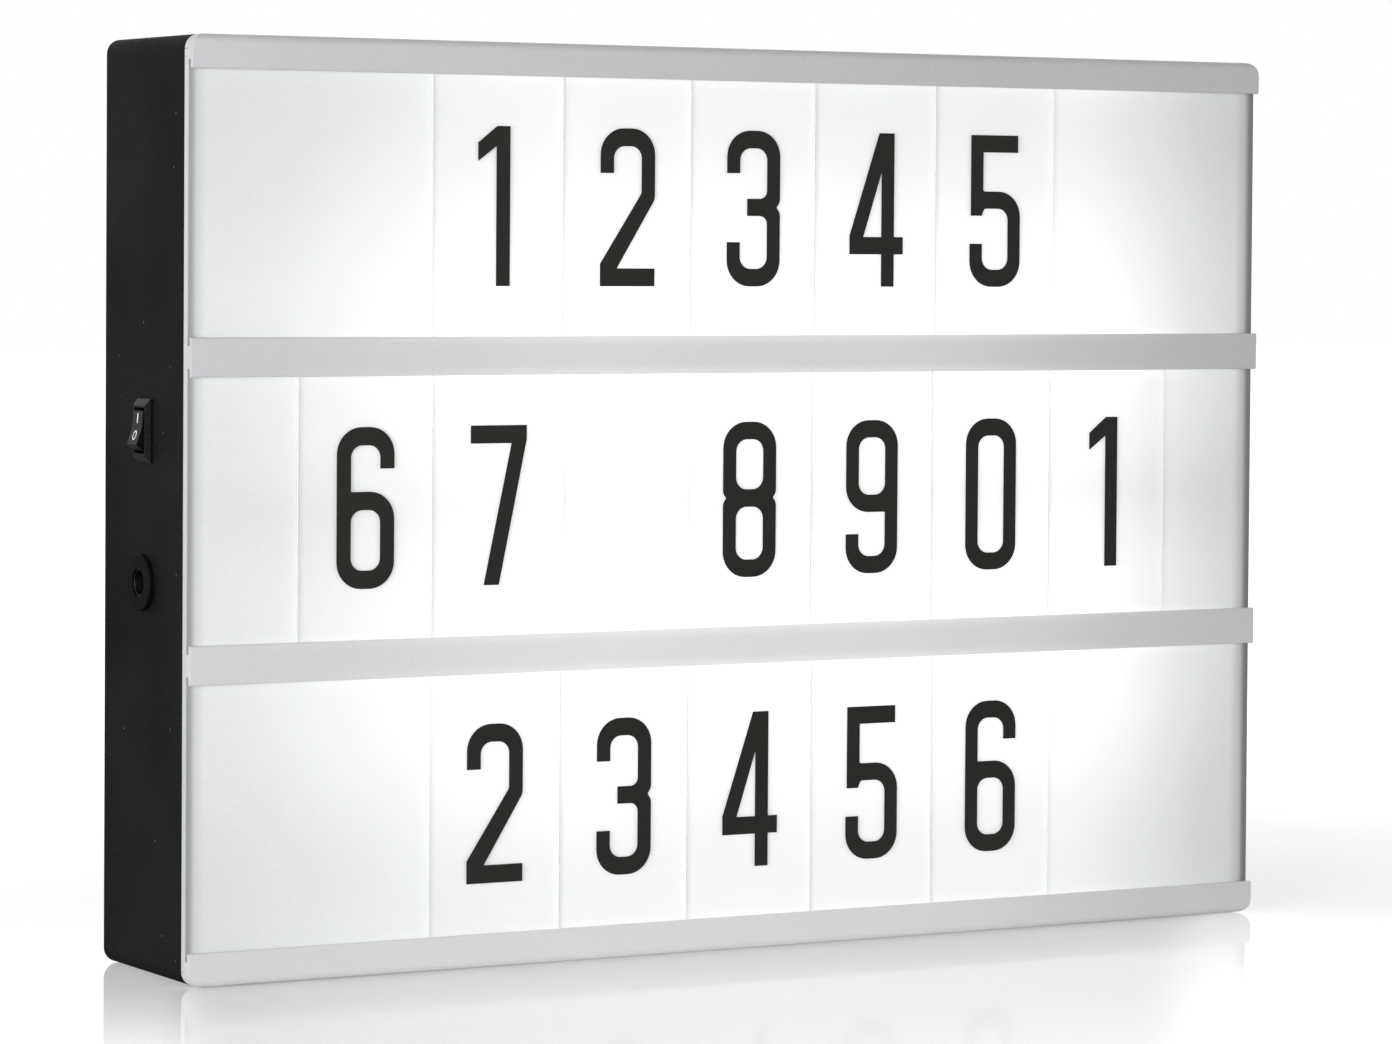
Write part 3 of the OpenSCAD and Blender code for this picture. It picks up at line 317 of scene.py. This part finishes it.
def glow_group():
    """Glow: how brightly the boards light the front, most in the middle and near a board, and a little
    brighter along each rail's edge as painted light. Lit: 0 at its two ends, where the frame is right
    behind it, and 1 elsewhere and on its narrow sides."""
    group, start, end = new_group("glow", [], [("Glow", FLOAT), ("Lit", FLOAT)])
    where = object_mm(group)
    x, _, z = axes(group, where)
    across = product(group, span(group, x, *GLOW_LEFT), span(group, x, *GLOW_RIGHT))
    upright = span(group, from_board_mm(group, z), *GLOW_UP)
    drift = span(group, noise(group, where, SLOW_SCALE), *GLOW_DRIFT)
    # Painted light along the rails' edges.
    painted_brim = span(group, from_rail_mm(group, z), *GLOW_PAINTED_BRIM)
    ends = product(group, span(group, x, *GLOW_END_LEFT), span(group, x, *GLOW_END_RIGHT))
    link(group, product(group, across, upright, drift, painted_brim, ends), end["Glow"])
    lit = product(group, span(group, x, *LIT_LEFT), span(group, x, *LIT_RIGHT))
    side = math_node(group, "ABSOLUTE", axes(group, surface_normal(group))[0])
    link(group, math_node(group, "MAXIMUM", lit, side), end["Lit"])
    return group


GLOW = glow_group()


def opal_material():
    """The diffuser: white acrylic that glows in front of the LED boards, and is dark over the frame, with
    painted light at its left end and painted shade at its right end.
    """
    material, tree, shader = new_material("opal_lit")
    out = group_node(tree, GLOW)
    link(tree, mix_colour(tree, out["Glow"], GLOW_DIM, GLOW_FULL), shader.inputs["Emission Color"])
    link(tree, product(tree, out["Glow"], GLOW_STRENGTH), shader.inputs["Emission Strength"])
    body = group_node(tree, MOULDED, Dark=OPAL_DARK, Light=OPAL_LIGHT,
                      Smooth=0.32, Rough=0.42, Grain_mm=0.8, Relief_mm=0.004)
    # Painted light on the left end over the frame, painted shade on the right end.
    right = span(tree, axes(tree, object_mm(tree))[0], *OVER_FRAME_TURN)
    over_frame = mix_colour(tree, right, OVER_FRAME_PAINTED_LIGHT, OVER_FRAME_PAINTED_SHADE)
    link(tree, mix_colour(tree, out["Lit"], over_frame, body["Color"]), shader.inputs["Base Color"])
    link(tree, body["Roughness"], shader.inputs["Roughness"])
    link(tree, body["Normal"], shader.inputs["Normal"])
    return material


def rail_material():
    """Satin white with a painted glow: faint light along the middle rails stands in for the panel's light
    shining through them, and more light towards the floor stands in for light bounced off it.
    """
    material = moulded("rail_white", (0.65, 0.65, 0.67), (0.69, 0.69, 0.71), 0.3, 0.42, 0.9, 0.004)
    tree, shader = material.node_tree, material.node_tree.nodes["Principled BSDF"]
    x, _, z = axes(tree, object_mm(tree))
    from_board = from_board_mm(tree, z)
    across = span(tree, math_node(tree, "ABSOLUTE", x), *RAIL_GLOW_ACROSS)
    upright = math_node(tree, "ADD", span(tree, from_board, *RAIL_GLOW_BOARD),
                        span(tree, z, *RAIL_PAINTED_BOTTOM))
    to_edge = span(tree, from_board, *RAIL_GLOW_EDGE)
    # Painted light that grows towards the floor, standing in for light bounced off it.
    painted_foot_light = span(tree, z, *RAIL_PAINTED_FOOT)
    glow = math_node(tree, "MULTIPLY_ADD", across, product(tree, upright, to_edge), painted_foot_light)
    link(tree, glow, shader.inputs["Emission Strength"])
    shader.inputs["Emission Color"].default_value = RAIL_GLOW_COLOUR
    return material


def tile_material():
    """Clear film: nearly unseen from the front, with milky cut edges."""
    material, tree, shader = new_material("clear_tile")
    where = object_mm(tree)
    facing = math_node(tree, "ABSOLUTE", axes(tree, surface_normal(tree))[1])
    edge = math_node(tree, "SUBTRACT", 1.0, facing)
    cloud = span(tree, noise(tree, where, CLOUD_SCALE, detail=4.0), *TILE_CLOUD)
    link(tree, math_node(tree, "MAXIMUM", cloud, edge), shader.inputs["Alpha"])
    link(tree, mix_colour(tree, edge, TILE_COLOUR, TILE_EDGE_COLOUR), shader.inputs["Base Color"])
    roughness = span(tree, noise(tree, where, SMEAR_SCALE, detail=3.0), *TILE_ROUGHNESS)
    link(tree, roughness, shader.inputs["Roughness"])
    return material


def metal(name, dark, light, smooth, rough, grain=0.2, relief=0.004):
    return moulded(name, dark, light, smooth, rough, grain, relief, Metallic=1.0)


def make_materials():
    return {
        "case": moulded("case_black_textured", grey(0.001), grey(0.016), 0.5, 0.8, 0.55, 0.08,
                        dusty=0.5, edge=0.4, Specular_IOR_Level=0.05),
        "switch": moulded("switch_black", grey(0.003), grey(0.006), 0.24, 0.38, 0.8, 0.004,
                          dusty=0.1, edge=0.3, Specular_IOR_Level=0.1),
        "jack": moulded("jack_black", grey(0.003), grey(0.007), 0.45, 0.58, 0.6, 0.01,
                        dusty=0.1, edge=0.3, Specular_IOR_Level=0.03),
        "washer": moulded("washer_black", grey(0.004), grey(0.008), 0.3, 0.45, 0.5, 0.01, edge=0.3),
        "rail": rail_material(),
        "opal": opal_material(),
        "tile": tile_material(),
        "ink": moulded("ink", (0.012, 0.012, 0.010), (0.020, 0.020, 0.017), 0.5, 0.62, 0.25, 0.004,
                       Specular_IOR_Level=0.2),
        "mark": moulded("mark_white", grey(0.82), grey(0.9), 0.4, 0.5, 0.3, 0.002),
        "reflector": moulded("reflector_white", grey(0.8), grey(0.86), 0.4, 0.5, 1.0, 0.01),
        "board": moulded("board_white", (0.72, 0.74, 0.72), (0.78, 0.8, 0.78), 0.3, 0.4, 0.6, 0.01),
        "led": moulded("led_phosphor", (0.8, 0.68, 0.18), (0.86, 0.76, 0.28), 0.3, 0.4, 0.4, 0.01),
        "chip": moulded("chip_black", grey(0.02), grey(0.035), 0.4, 0.5, 0.2, 0.005),
        "nylon": moulded("nylon_white", (0.72, 0.72, 0.68), (0.8, 0.8, 0.76), 0.35, 0.5, 0.5, 0.01),
        "red": moulded("lead_red", (0.42, 0.02, 0.015), (0.52, 0.04, 0.03), 0.35, 0.5, 0.6, 0.01),
        "black": moulded("lead_black", grey(0.015), grey(0.03), 0.35, 0.5, 0.6, 0.01),
        "nickel": metal("nickel", (0.58, 0.57, 0.54), (0.68, 0.67, 0.64), 0.2, 0.34),
        "steel": metal("screw_steel", grey(0.3), grey(0.42), 0.25, 0.4, relief=0.006),
        # The jack's sleeve is a dark metal: painted shade inside the socket's bore.
        "contact": metal("sleeve_painted_shade", grey(0.05), grey(0.09), 0.3, 0.45, grain=0.3),
        "brass": metal("brass", (0.62, 0.46, 0.2), (0.72, 0.56, 0.28), 0.22, 0.36),
    }


NODE_MATERIALS = {
    "case": ("side_frame", "back_panel", "battery_tray", "battery_door"),
    "switch": ("switch_body", "switch_rocker"),
    "jack": ("jack_body",),
    "rail": ("rail_top", "rail_upper", "rail_lower", "rail_bottom"),
    "opal": ("front_panel",),
    "reflector": ("reflector", "panel_studs"),
    "board": ("led_board_upper", "led_board_lower"),
    "led": ("leds",),
    "chip": ("resistors",),
    "nylon": ("board_rivets", "switch_plunger"),
    "nickel": ("battery_springs", "battery_plates", "jack_nut", "jack_terminals"),
    "contact": ("jack_sleeve",),
    "steel": ("jack_pin", "back_screws", "panel_screws", "reflector_screws", "tray_screws",
              "switch_spring"),
    "brass": ("switch_contact", "switch_common", "switch_load"),
    "red": ("battery_lead_red", "jack_lead", "feed_lead", "link_lead_red"),
    "black": ("battery_lead_black", "ground_lead", "link_lead_black"),
    "washer": ("jack_washer",),
}


def give(obj, material):
    """Makes this the object's only material."""
    obj.data.materials.clear()
    obj.data.materials.append(material)


def dress_cad(materials):
    for key, names in NODE_MATERIALS.items():
        for name in names:
            give(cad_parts[name], materials[key])
    for name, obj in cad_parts.items():
        if name.startswith("tile_"):
            give(obj, materials["tile"])


# ---- numerals ----

# A numeral's measures in millimetres: half its width, its height, the thickness of upright and of level
# strokes, the radius of a bowl outside and inside, and half the width and the top of the space inside.
HALF, TALL, STEM, BAR = 7.5, 38.0, 3.7, 4.3
BOWL, HOLE = 6.4, 2.9
IN, TOP = HALF - STEM, TALL - BAR

# Each digit is an outer loop and its holes, and each corner is (across, up, radius).
SIX = [
    [(-HALF, 0, BOWL), (HALF, 0, BOWL), (HALF, 22.8, BOWL), (-IN, 22.8, 0.2), (-IN, TOP, HOLE),
     (IN, TOP, HOLE), (IN, 28.2, 0), (HALF, 28.2, 0), (HALF, TALL, BOWL), (-HALF, TALL, BOWL)],
    [(-IN, BAR, HOLE), (IN, BAR, HOLE), (IN, 18.5, HOLE), (-IN, 18.5, HOLE)],
]
DIGITS = {
    "0": [
        [(-HALF, 0, BOWL), (HALF, 0, BOWL), (HALF, TALL, BOWL), (-HALF, TALL, BOWL)],
        [(-IN, BAR, HOLE), (IN, BAR, HOLE), (IN, TOP, HOLE), (-IN, TOP, HOLE)],
    ],
    "1": [[(-0.5, 0, 0), (3.2, 0, 0), (3.2, TALL, 0), (-0.3, TALL, 0), (-5.4, 34.0, 0), (-5.4, 29.6, 0),
           (-0.5, 33.2, 0)]],
    "2": [[(-HALF, 0, 0), (HALF, 0, 0), (HALF, BAR, 0), (-2.9, BAR, 0), (HALF, 21, 3), (HALF, TALL, BOWL),
           (-HALF, TALL, BOWL), (-HALF, 27.2, 0), (-IN, 27.2, 0), (-IN, TOP, HOLE), (IN, TOP, HOLE),
           (IN, 22.4, 2), (-HALF, 5.4, 0)]],
    "3": [[(-HALF, 10.8, 0), (-HALF, 0, BOWL), (HALF, 0, BOWL), (HALF, 18.0, 2.6), (6.5, 19.3, 0.4),
           (HALF, 20.6, 2.6), (HALF, TALL, BOWL), (-HALF, TALL, BOWL), (-HALF, 27.6, 0), (-IN, 27.6, 0),
           (-IN, TOP, HOLE), (IN, TOP, HOLE), (IN, 21.4, 2), (-1.8, 21.4, 0), (-1.8, 17.2, 0),
           (IN, 17.2, 2), (IN, BAR, HOLE), (-IN, BAR, HOLE), (-IN, 10.8, 0)]],
    "4": [
        [(1.6, 0, 0), (5.3, 0, 0), (5.3, 8, 0), (7.9, 8, 0), (7.9, 12.3, 0), (5.3, 12.3, 0),
         (5.3, TALL, 0), (0.9, TALL, 0), (-7.6, 12.6, 0), (-7.6, 8, 0), (1.6, 8, 0)],
        [(-3.6, 12.3, 0), (1.6, 12.3, 0), (1.6, 28.2, 0)],
    ],
    "5": [[(-7.2, TALL, 0), (-7.2, 17.8, 0), (-3.9, 17.8, 0), (-3.2, 19.6, 0.8), (IN, 19.6, HOLE),
           (IN, BAR, HOLE), (-IN, BAR, HOLE), (-IN, 10.8, 0), (-HALF, 10.8, 0), (-HALF, 0, BOWL),
           (HALF, 0, BOWL), (HALF, 23.9, BOWL), (-3.5, 23.9, 0.5), (-3.5, TOP, 0), (6.8, TOP, 0),
           (6.8, TALL, 0)]],
    "6": SIX,
    "7": [[(-HALF, TALL, 0), (-HALF, TOP, 0), (3.4, TOP, 0), (-3.9, 0, 0), (0.2, 0, 0), (HALF, 34.6, 0),
           (HALF, TALL, 0)]],
    "8": [
        [(-HALF, 0, BOWL), (HALF, 0, BOWL), (HALF, 18.2, 2.6), (6.6, 19.4, 0.4), (HALF, 20.6, 2.6),
         (HALF, TALL, BOWL), (-HALF, TALL, BOWL), (-HALF, 20.6, 2.6), (-6.6, 19.4, 0.4),
         (-HALF, 18.2, 2.6)],
        [(-IN, BAR, HOLE), (IN, BAR, HOLE), (IN, 17.2, HOLE), (-IN, 17.2, HOLE)],
        [(-IN, 21.5, HOLE), (IN, 21.5, HOLE), (IN, TOP, HOLE), (-IN, TOP, HOLE)],
    ],
    "9": [[(-x, TALL - z, r) for x, z, r in loop] for loop in SIX],
}
ROWS = {"top": "12345", "middle": "678901", "bottom": "23456"}

# In millimetres: the ink's thickness, a row's clear height, and how deep a tile's foot is in its groove.
INK_T = 0.05
WINDOW_H, GROOVE_DEPTH = 61.867, 1.9

# A corner isn't rounded when half its angle is more than this.
NEARLY_STRAIGHT = math.radians(88)


def rounded_loop(corners, steps=10):
    """Points of a closed outline whose corners (x, z, radius) are rounded off."""
    points = []
    count = len(corners)
    for i, (x, z, r) in enumerate(corners):
        here = Vector((x, z))
        before = (Vector(corners[i - 1][:2]) - here).normalized()
        after = (Vector(corners[(i + 1) % count][:2]) - here).normalized()
        half_angle = before.angle(after) / 2
        if r <= 0 or half_angle > NEARLY_STRAIGHT:
            points.append(here)
            continue
        back = r / math.tan(half_angle)
        centre = here + (before + after).normalized() * (r / math.sin(half_angle))
        start, end = here + before * back - centre, here + after * back - centre
        turn = start.angle_signed(end)
        for k in range(steps + 1):
            points.append(centre + Matrix.Rotation(-turn * k / steps, 2) @ start)
    return points


def area(loop):
    """More than 0 when the loop runs anticlockwise."""
    return sum(a.x * b.y - b.x * a.y for a, b in zip(loop, loop[1:] + loop[:1])) / 2


def plate_mesh(name, loops, thickness, place):
    """A closed plate from flat loops, the first outside and the rest holes. place(point, depth) says
    where a point of its back (depth 0) or front (depth thickness) lies in space."""
    loops = [loop if (area(loop) > 0) == (i == 0) else loop[::-1] for i, loop in enumerate(loops)]
    flat = [p for loop in loops for p in loop]
    faces = tessellate_polygon([[Vector((p.x, p.y, 0)) for p in loop] for loop in loops])
    count = len(flat)
    verts = [place(p, thickness) for p in flat] + [place(p, 0) for p in flat]
    polys = [tuple(f) for f in faces] + [tuple(count + i for i in reversed(f)) for f in faces]
    first = 0
    for loop in loops:
        n = len(loop)
        for k in range(n):
            a, b = first + k, first + (k + 1) % n
            polys.append((a, count + a, count + b, b))
        first += n
    mesh = bpy.data.meshes.new(name)
    mesh.from_pydata([tuple(v) for v in verts], [], polys)
    work = bmesh.new()
    work.from_mesh(mesh)
    bmesh.ops.recalc_face_normals(work, faces=work.faces)
    work.to_mesh(mesh)
    work.free()
    mesh.update()
    return mesh


def add_piece(name, mesh, material, body):
    obj = bpy.data.objects.new(name, mesh)
    bpy.context.scene.collection.objects.link(obj)
    give(obj, material)
    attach(obj, body)


def on_tile(node):
    """A place function for plates on the front of a tile, from the foot of its numeral up."""
    low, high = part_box(node)
    middle, front = (low.x + high.x) / 2, low.y
    foot = low.z + (GROOVE_DEPTH + (WINDOW_H - TALL) / 2) * MM
    return lambda p, depth: Vector((middle + p.x * MM, front - depth * MM, foot + p.y * MM))


def make_numerals(material):
    for row, digits in ROWS.items():
        for slot, digit in enumerate(digits, 1):
            node = f"tile_{row}_{slot}"
            loops = [rounded_loop(loop) for loop in DIGITS[digit]]
            mesh = plate_mesh(f"numeral_{row}_{slot}", loops, INK_T, on_tile(node))
            add_piece(f"numeral_{row}_{slot}", mesh, material, node)


# ---- switch marks ----

# In millimetres: the rocker's axis, its tilt at rest (an angle), and the middle and the end of its face,
# outwards and upwards of the axis. The marks' middles are ON_UP and OFF_DOWN along the face.
PIVOT = Vector((-149.6, 0.9, 127.9))
TILT = math.radians(12)
FACE_MID, FACE_CORNER = Vector((2.8, 0)), Vector((3.3, 4.0))
MARK_T = 0.03
BAR_HALF_W, BAR_HALF_H = 0.3, 1.15
RING_OUTER, RING_INNER = (1.0, 1.2), (0.62, 0.82)
ON_UP, OFF_DOWN = 2.35, 1.75


def rocker_point(across, along, depth, side):
    """A point on the rocker's upper (side 1) or lower (side -1) face: across it, along it, proud of it."""
    slope = (FACE_CORNER - FACE_MID).normalized()
    out = Vector((slope.y, -slope.x))
    p = FACE_MID + slope * along + out * depth
    flat = Vector((-p.x, across, side * p.y))
    return (PIVOT + Matrix.Rotation(TILT, 3, "Y") @ flat) * MM


def ellipse(half_w, half_h, steps=32):
    return [Vector((half_w * math.cos(math.tau * k / steps), half_h * math.sin(math.tau * k / steps)))
            for k in range(steps)]


def add_mark(name, loops, along, side, material):
    mesh = plate_mesh(name, loops, MARK_T, lambda p, depth: rocker_point(p.x, along + p.y, depth, side))
    add_piece(name, mesh, material, "rocker")


def make_switch_marks(material):
    w, h = BAR_HALF_W, BAR_HALF_H
    bar = [Vector(p) for p in ((-w, -h), (w, -h), (w, h), (-w, h))]
    add_mark("mark_on", [bar], ON_UP, 1, material)
    add_mark("mark_off", [ellipse(*RING_OUTER), ellipse(*RING_INNER)], OFF_DOWN, -1, material)


# ---- stage ----

# Half the box's width and depth in millimetres, and half the floor's side and its drop in metres.
HALF_W, HALF_D = 150.0, 25.0
FLOOR_HALF, FLOOR_DROP = 6.0, 0.0002
FLOOR_COLOUR = opaque(grey(0.9))
MIRROR_ROUGHNESS, MIRROR_IOR = 0.05, 1.45

# The wedge of floor in front that the camera sees mirror the lit front: two lines run forward from its
# lower corners, each as (across, along), and past each the wedge fades out over a span in millimetres.
LEFT_LINE, RIGHT_LINE = (0.91, 0.41), (0.81, 0.59)
LEFT_FADE, RIGHT_FADE = (-14.0, 14.0), (0.0, -30.0)
FRONT_FADE = (-HALF_D + 8.0, -HALF_D)

# The floor's own light for the camera, which is less near the box as painted shade: how it grows to the
# right and with distance in the wedge, its value beside the wedge, and how it and the mirror change with
# distance from the box.
WEDGE_ACROSS, WEDGE_NEAR = (30.0, 240.0, 0.4, 0.8), (0.0, 70.0, 0.56, 1.0)
BESIDE = 0.66
FAR_LIGHT, MIRROR_FADE = (60.0, 420.0), (0.0, 130.0, 1.0, 0.12)


def beyond_mm(tree, x, y, corner_x, across, along):
    """How far a floor point lies to the right of a line that runs forward from a front corner."""
    sideways = math_node(tree, "SUBTRACT", x, corner_x)
    forward = math_node(tree, "ADD", y, HALF_D)
    return math_node(tree, "SUBTRACT", product(tree, sideways, across), product(tree, forward, along))


def from_box_mm(tree, x, y):
    """How far a floor point lies from the box's own rectangle."""
    squares = []
    for along, half in ((x, HALF_W), (y, HALF_D)):
        outside = math_node(tree, "SUBTRACT", math_node(tree, "ABSOLUTE", along), half)
        gap = math_node(tree, "MAXIMUM", outside, 0.0)
        squares.append(product(tree, gap, gap))
    return math_node(tree, "SQRT", math_node(tree, "ADD", *squares))


def floor_light_and_painted_shade(tree, x, y, distance):
    """White far away, and greyer near the box and graded in the wedge in front of it: painted shade around
    the box.
    """
    past_left = beyond_mm(tree, x, y, -HALF_W, *LEFT_LINE)
    past_right = beyond_mm(tree, x, y, HALF_W, *RIGHT_LINE)
    in_front = product(tree, span(tree, past_left, *LEFT_FADE), span(tree, past_right, *RIGHT_FADE),
                       span(tree, y, *FRONT_FADE))
    wedge = product(tree, span(tree, x, *WEDGE_ACROSS), span(tree, distance, *WEDGE_NEAR))
    # Painted shade: the floor's light for the camera is less beside and in front of the box.
    near = span(tree, in_front, 0.0, 1.0, BESIDE, wedge)
    return span(tree, distance, *FAR_LIGHT, near, 1.0)


def floor_material():
    """White to the camera, with painted shade near the box, and glossy: it mirrors what stands on it, less
    with distance from the box.
    """
    material, tree, shader = new_material("floor_white")
    x, y, _ = axes(tree, object_mm(tree))
    distance = from_box_mm(tree, x, y)
    shader.inputs["Base Color"].default_value = FLOOR_COLOUR
    shader.inputs["Specular IOR Level"].default_value = 0.0
    shader.inputs["Roughness"].default_value = 1.0
    seen = tree.nodes.new("ShaderNodeLightPath").outputs["Is Camera Ray"]
    light = product(tree, seen, floor_light_and_painted_shade(tree, x, y, distance))
    link(tree, light, shader.inputs["Emission Strength"])
    shader.inputs["Emission Color"].default_value = opaque(grey(1))
    mirror = tree.nodes.new("ShaderNodeBsdfGlossy")
    mirror.inputs["Roughness"].default_value = MIRROR_ROUGHNESS
    fresnel = tree.nodes.new("ShaderNodeFresnel")
    fresnel.inputs["IOR"].default_value = MIRROR_IOR
    both = tree.nodes.new("ShaderNodeMixShader")
    link(tree, product(tree, fresnel.outputs[0], span(tree, distance, *MIRROR_FADE)), both.inputs[0])
    link(tree, shader.outputs[0], both.inputs[1])
    link(tree, mirror.outputs[0], both.inputs[2])
    link(tree, both.outputs[0], tree.nodes["Material Output"].inputs["Surface"])
    return material


def make_stage():
    mesh = bpy.data.meshes.new("floor")
    far = FLOOR_HALF
    corners = [(-far, -far, 0), (far, -far, 0), (far, far, 0), (-far, far, 0)]
    mesh.from_pydata(corners, [], [(0, 1, 2, 3)])
    floor = bpy.data.objects.new("floor", mesh)
    bpy.context.scene.collection.objects.link(floor)
    floor.location.z = -FLOOR_DROP
    give(floor, floor_material())


# ---- lights ----

# The world's strength as a light, and what is added to it where it is seen itself.
WORLD_LIGHT, WORLD_SEEN = 0.22, 0.78

# In metres and watts: name, place, what it points at, width, height, power.
LIGHTS = [
    ("key", (-1.0, -0.6, 0.2), (0, 0, 0.06), 0.7, 0.36, 9),
    ("fill", (0.3, -1.5, 0.3), (0, 0, 0.05), 1.2, 0.5, 2),
    ("back", (0.9, 1.2, 0.9), (0, 0, 0.1), 1.5, 1.5, 3),
]


def area_light(name, place, target, width, height, power):
    data = bpy.data.lights.new(name, "AREA")
    data.shape = "RECTANGLE"
    data.size, data.size_y, data.energy = width, height, power
    light = bpy.data.objects.new(name, data)
    bpy.context.scene.collection.objects.link(light)
    light.location = place
    light.rotation_euler = (Vector(target) - Vector(place)).to_track_quat("-Z", "Y").to_euler()


def make_world():
    """White, brighter for the camera and for mirror images than as a light."""
    world = bpy.data.worlds.new("studio")
    bpy.context.scene.world = world
    world.use_nodes = True
    tree = world.node_tree
    back = tree.nodes["Background"]
    path = tree.nodes.new("ShaderNodeLightPath").outputs
    through = math_node(tree, "MAXIMUM", path["Is Glossy Ray"], path["Is Transmission Ray"])
    seen = math_node(tree, "MAXIMUM", path["Is Camera Ray"], through)
    back.inputs["Color"].default_value = opaque(grey(1))
    strength = math_node(tree, "ADD", product(tree, seen, WORLD_SEEN), WORLD_LIGHT)
    link(tree, strength, back.inputs["Strength"])


def make_lights():
    for light in LIGHTS:
        area_light(*light)


def main():
    make_camera()
    materials = make_materials()
    dress_cad(materials)
    make_numerals(materials["ink"])
    make_switch_marks(materials["mark"])
    make_stage()
    make_world()
    make_lights()
    bpy.context.scene.view_settings.view_transform = "Standard"


main()
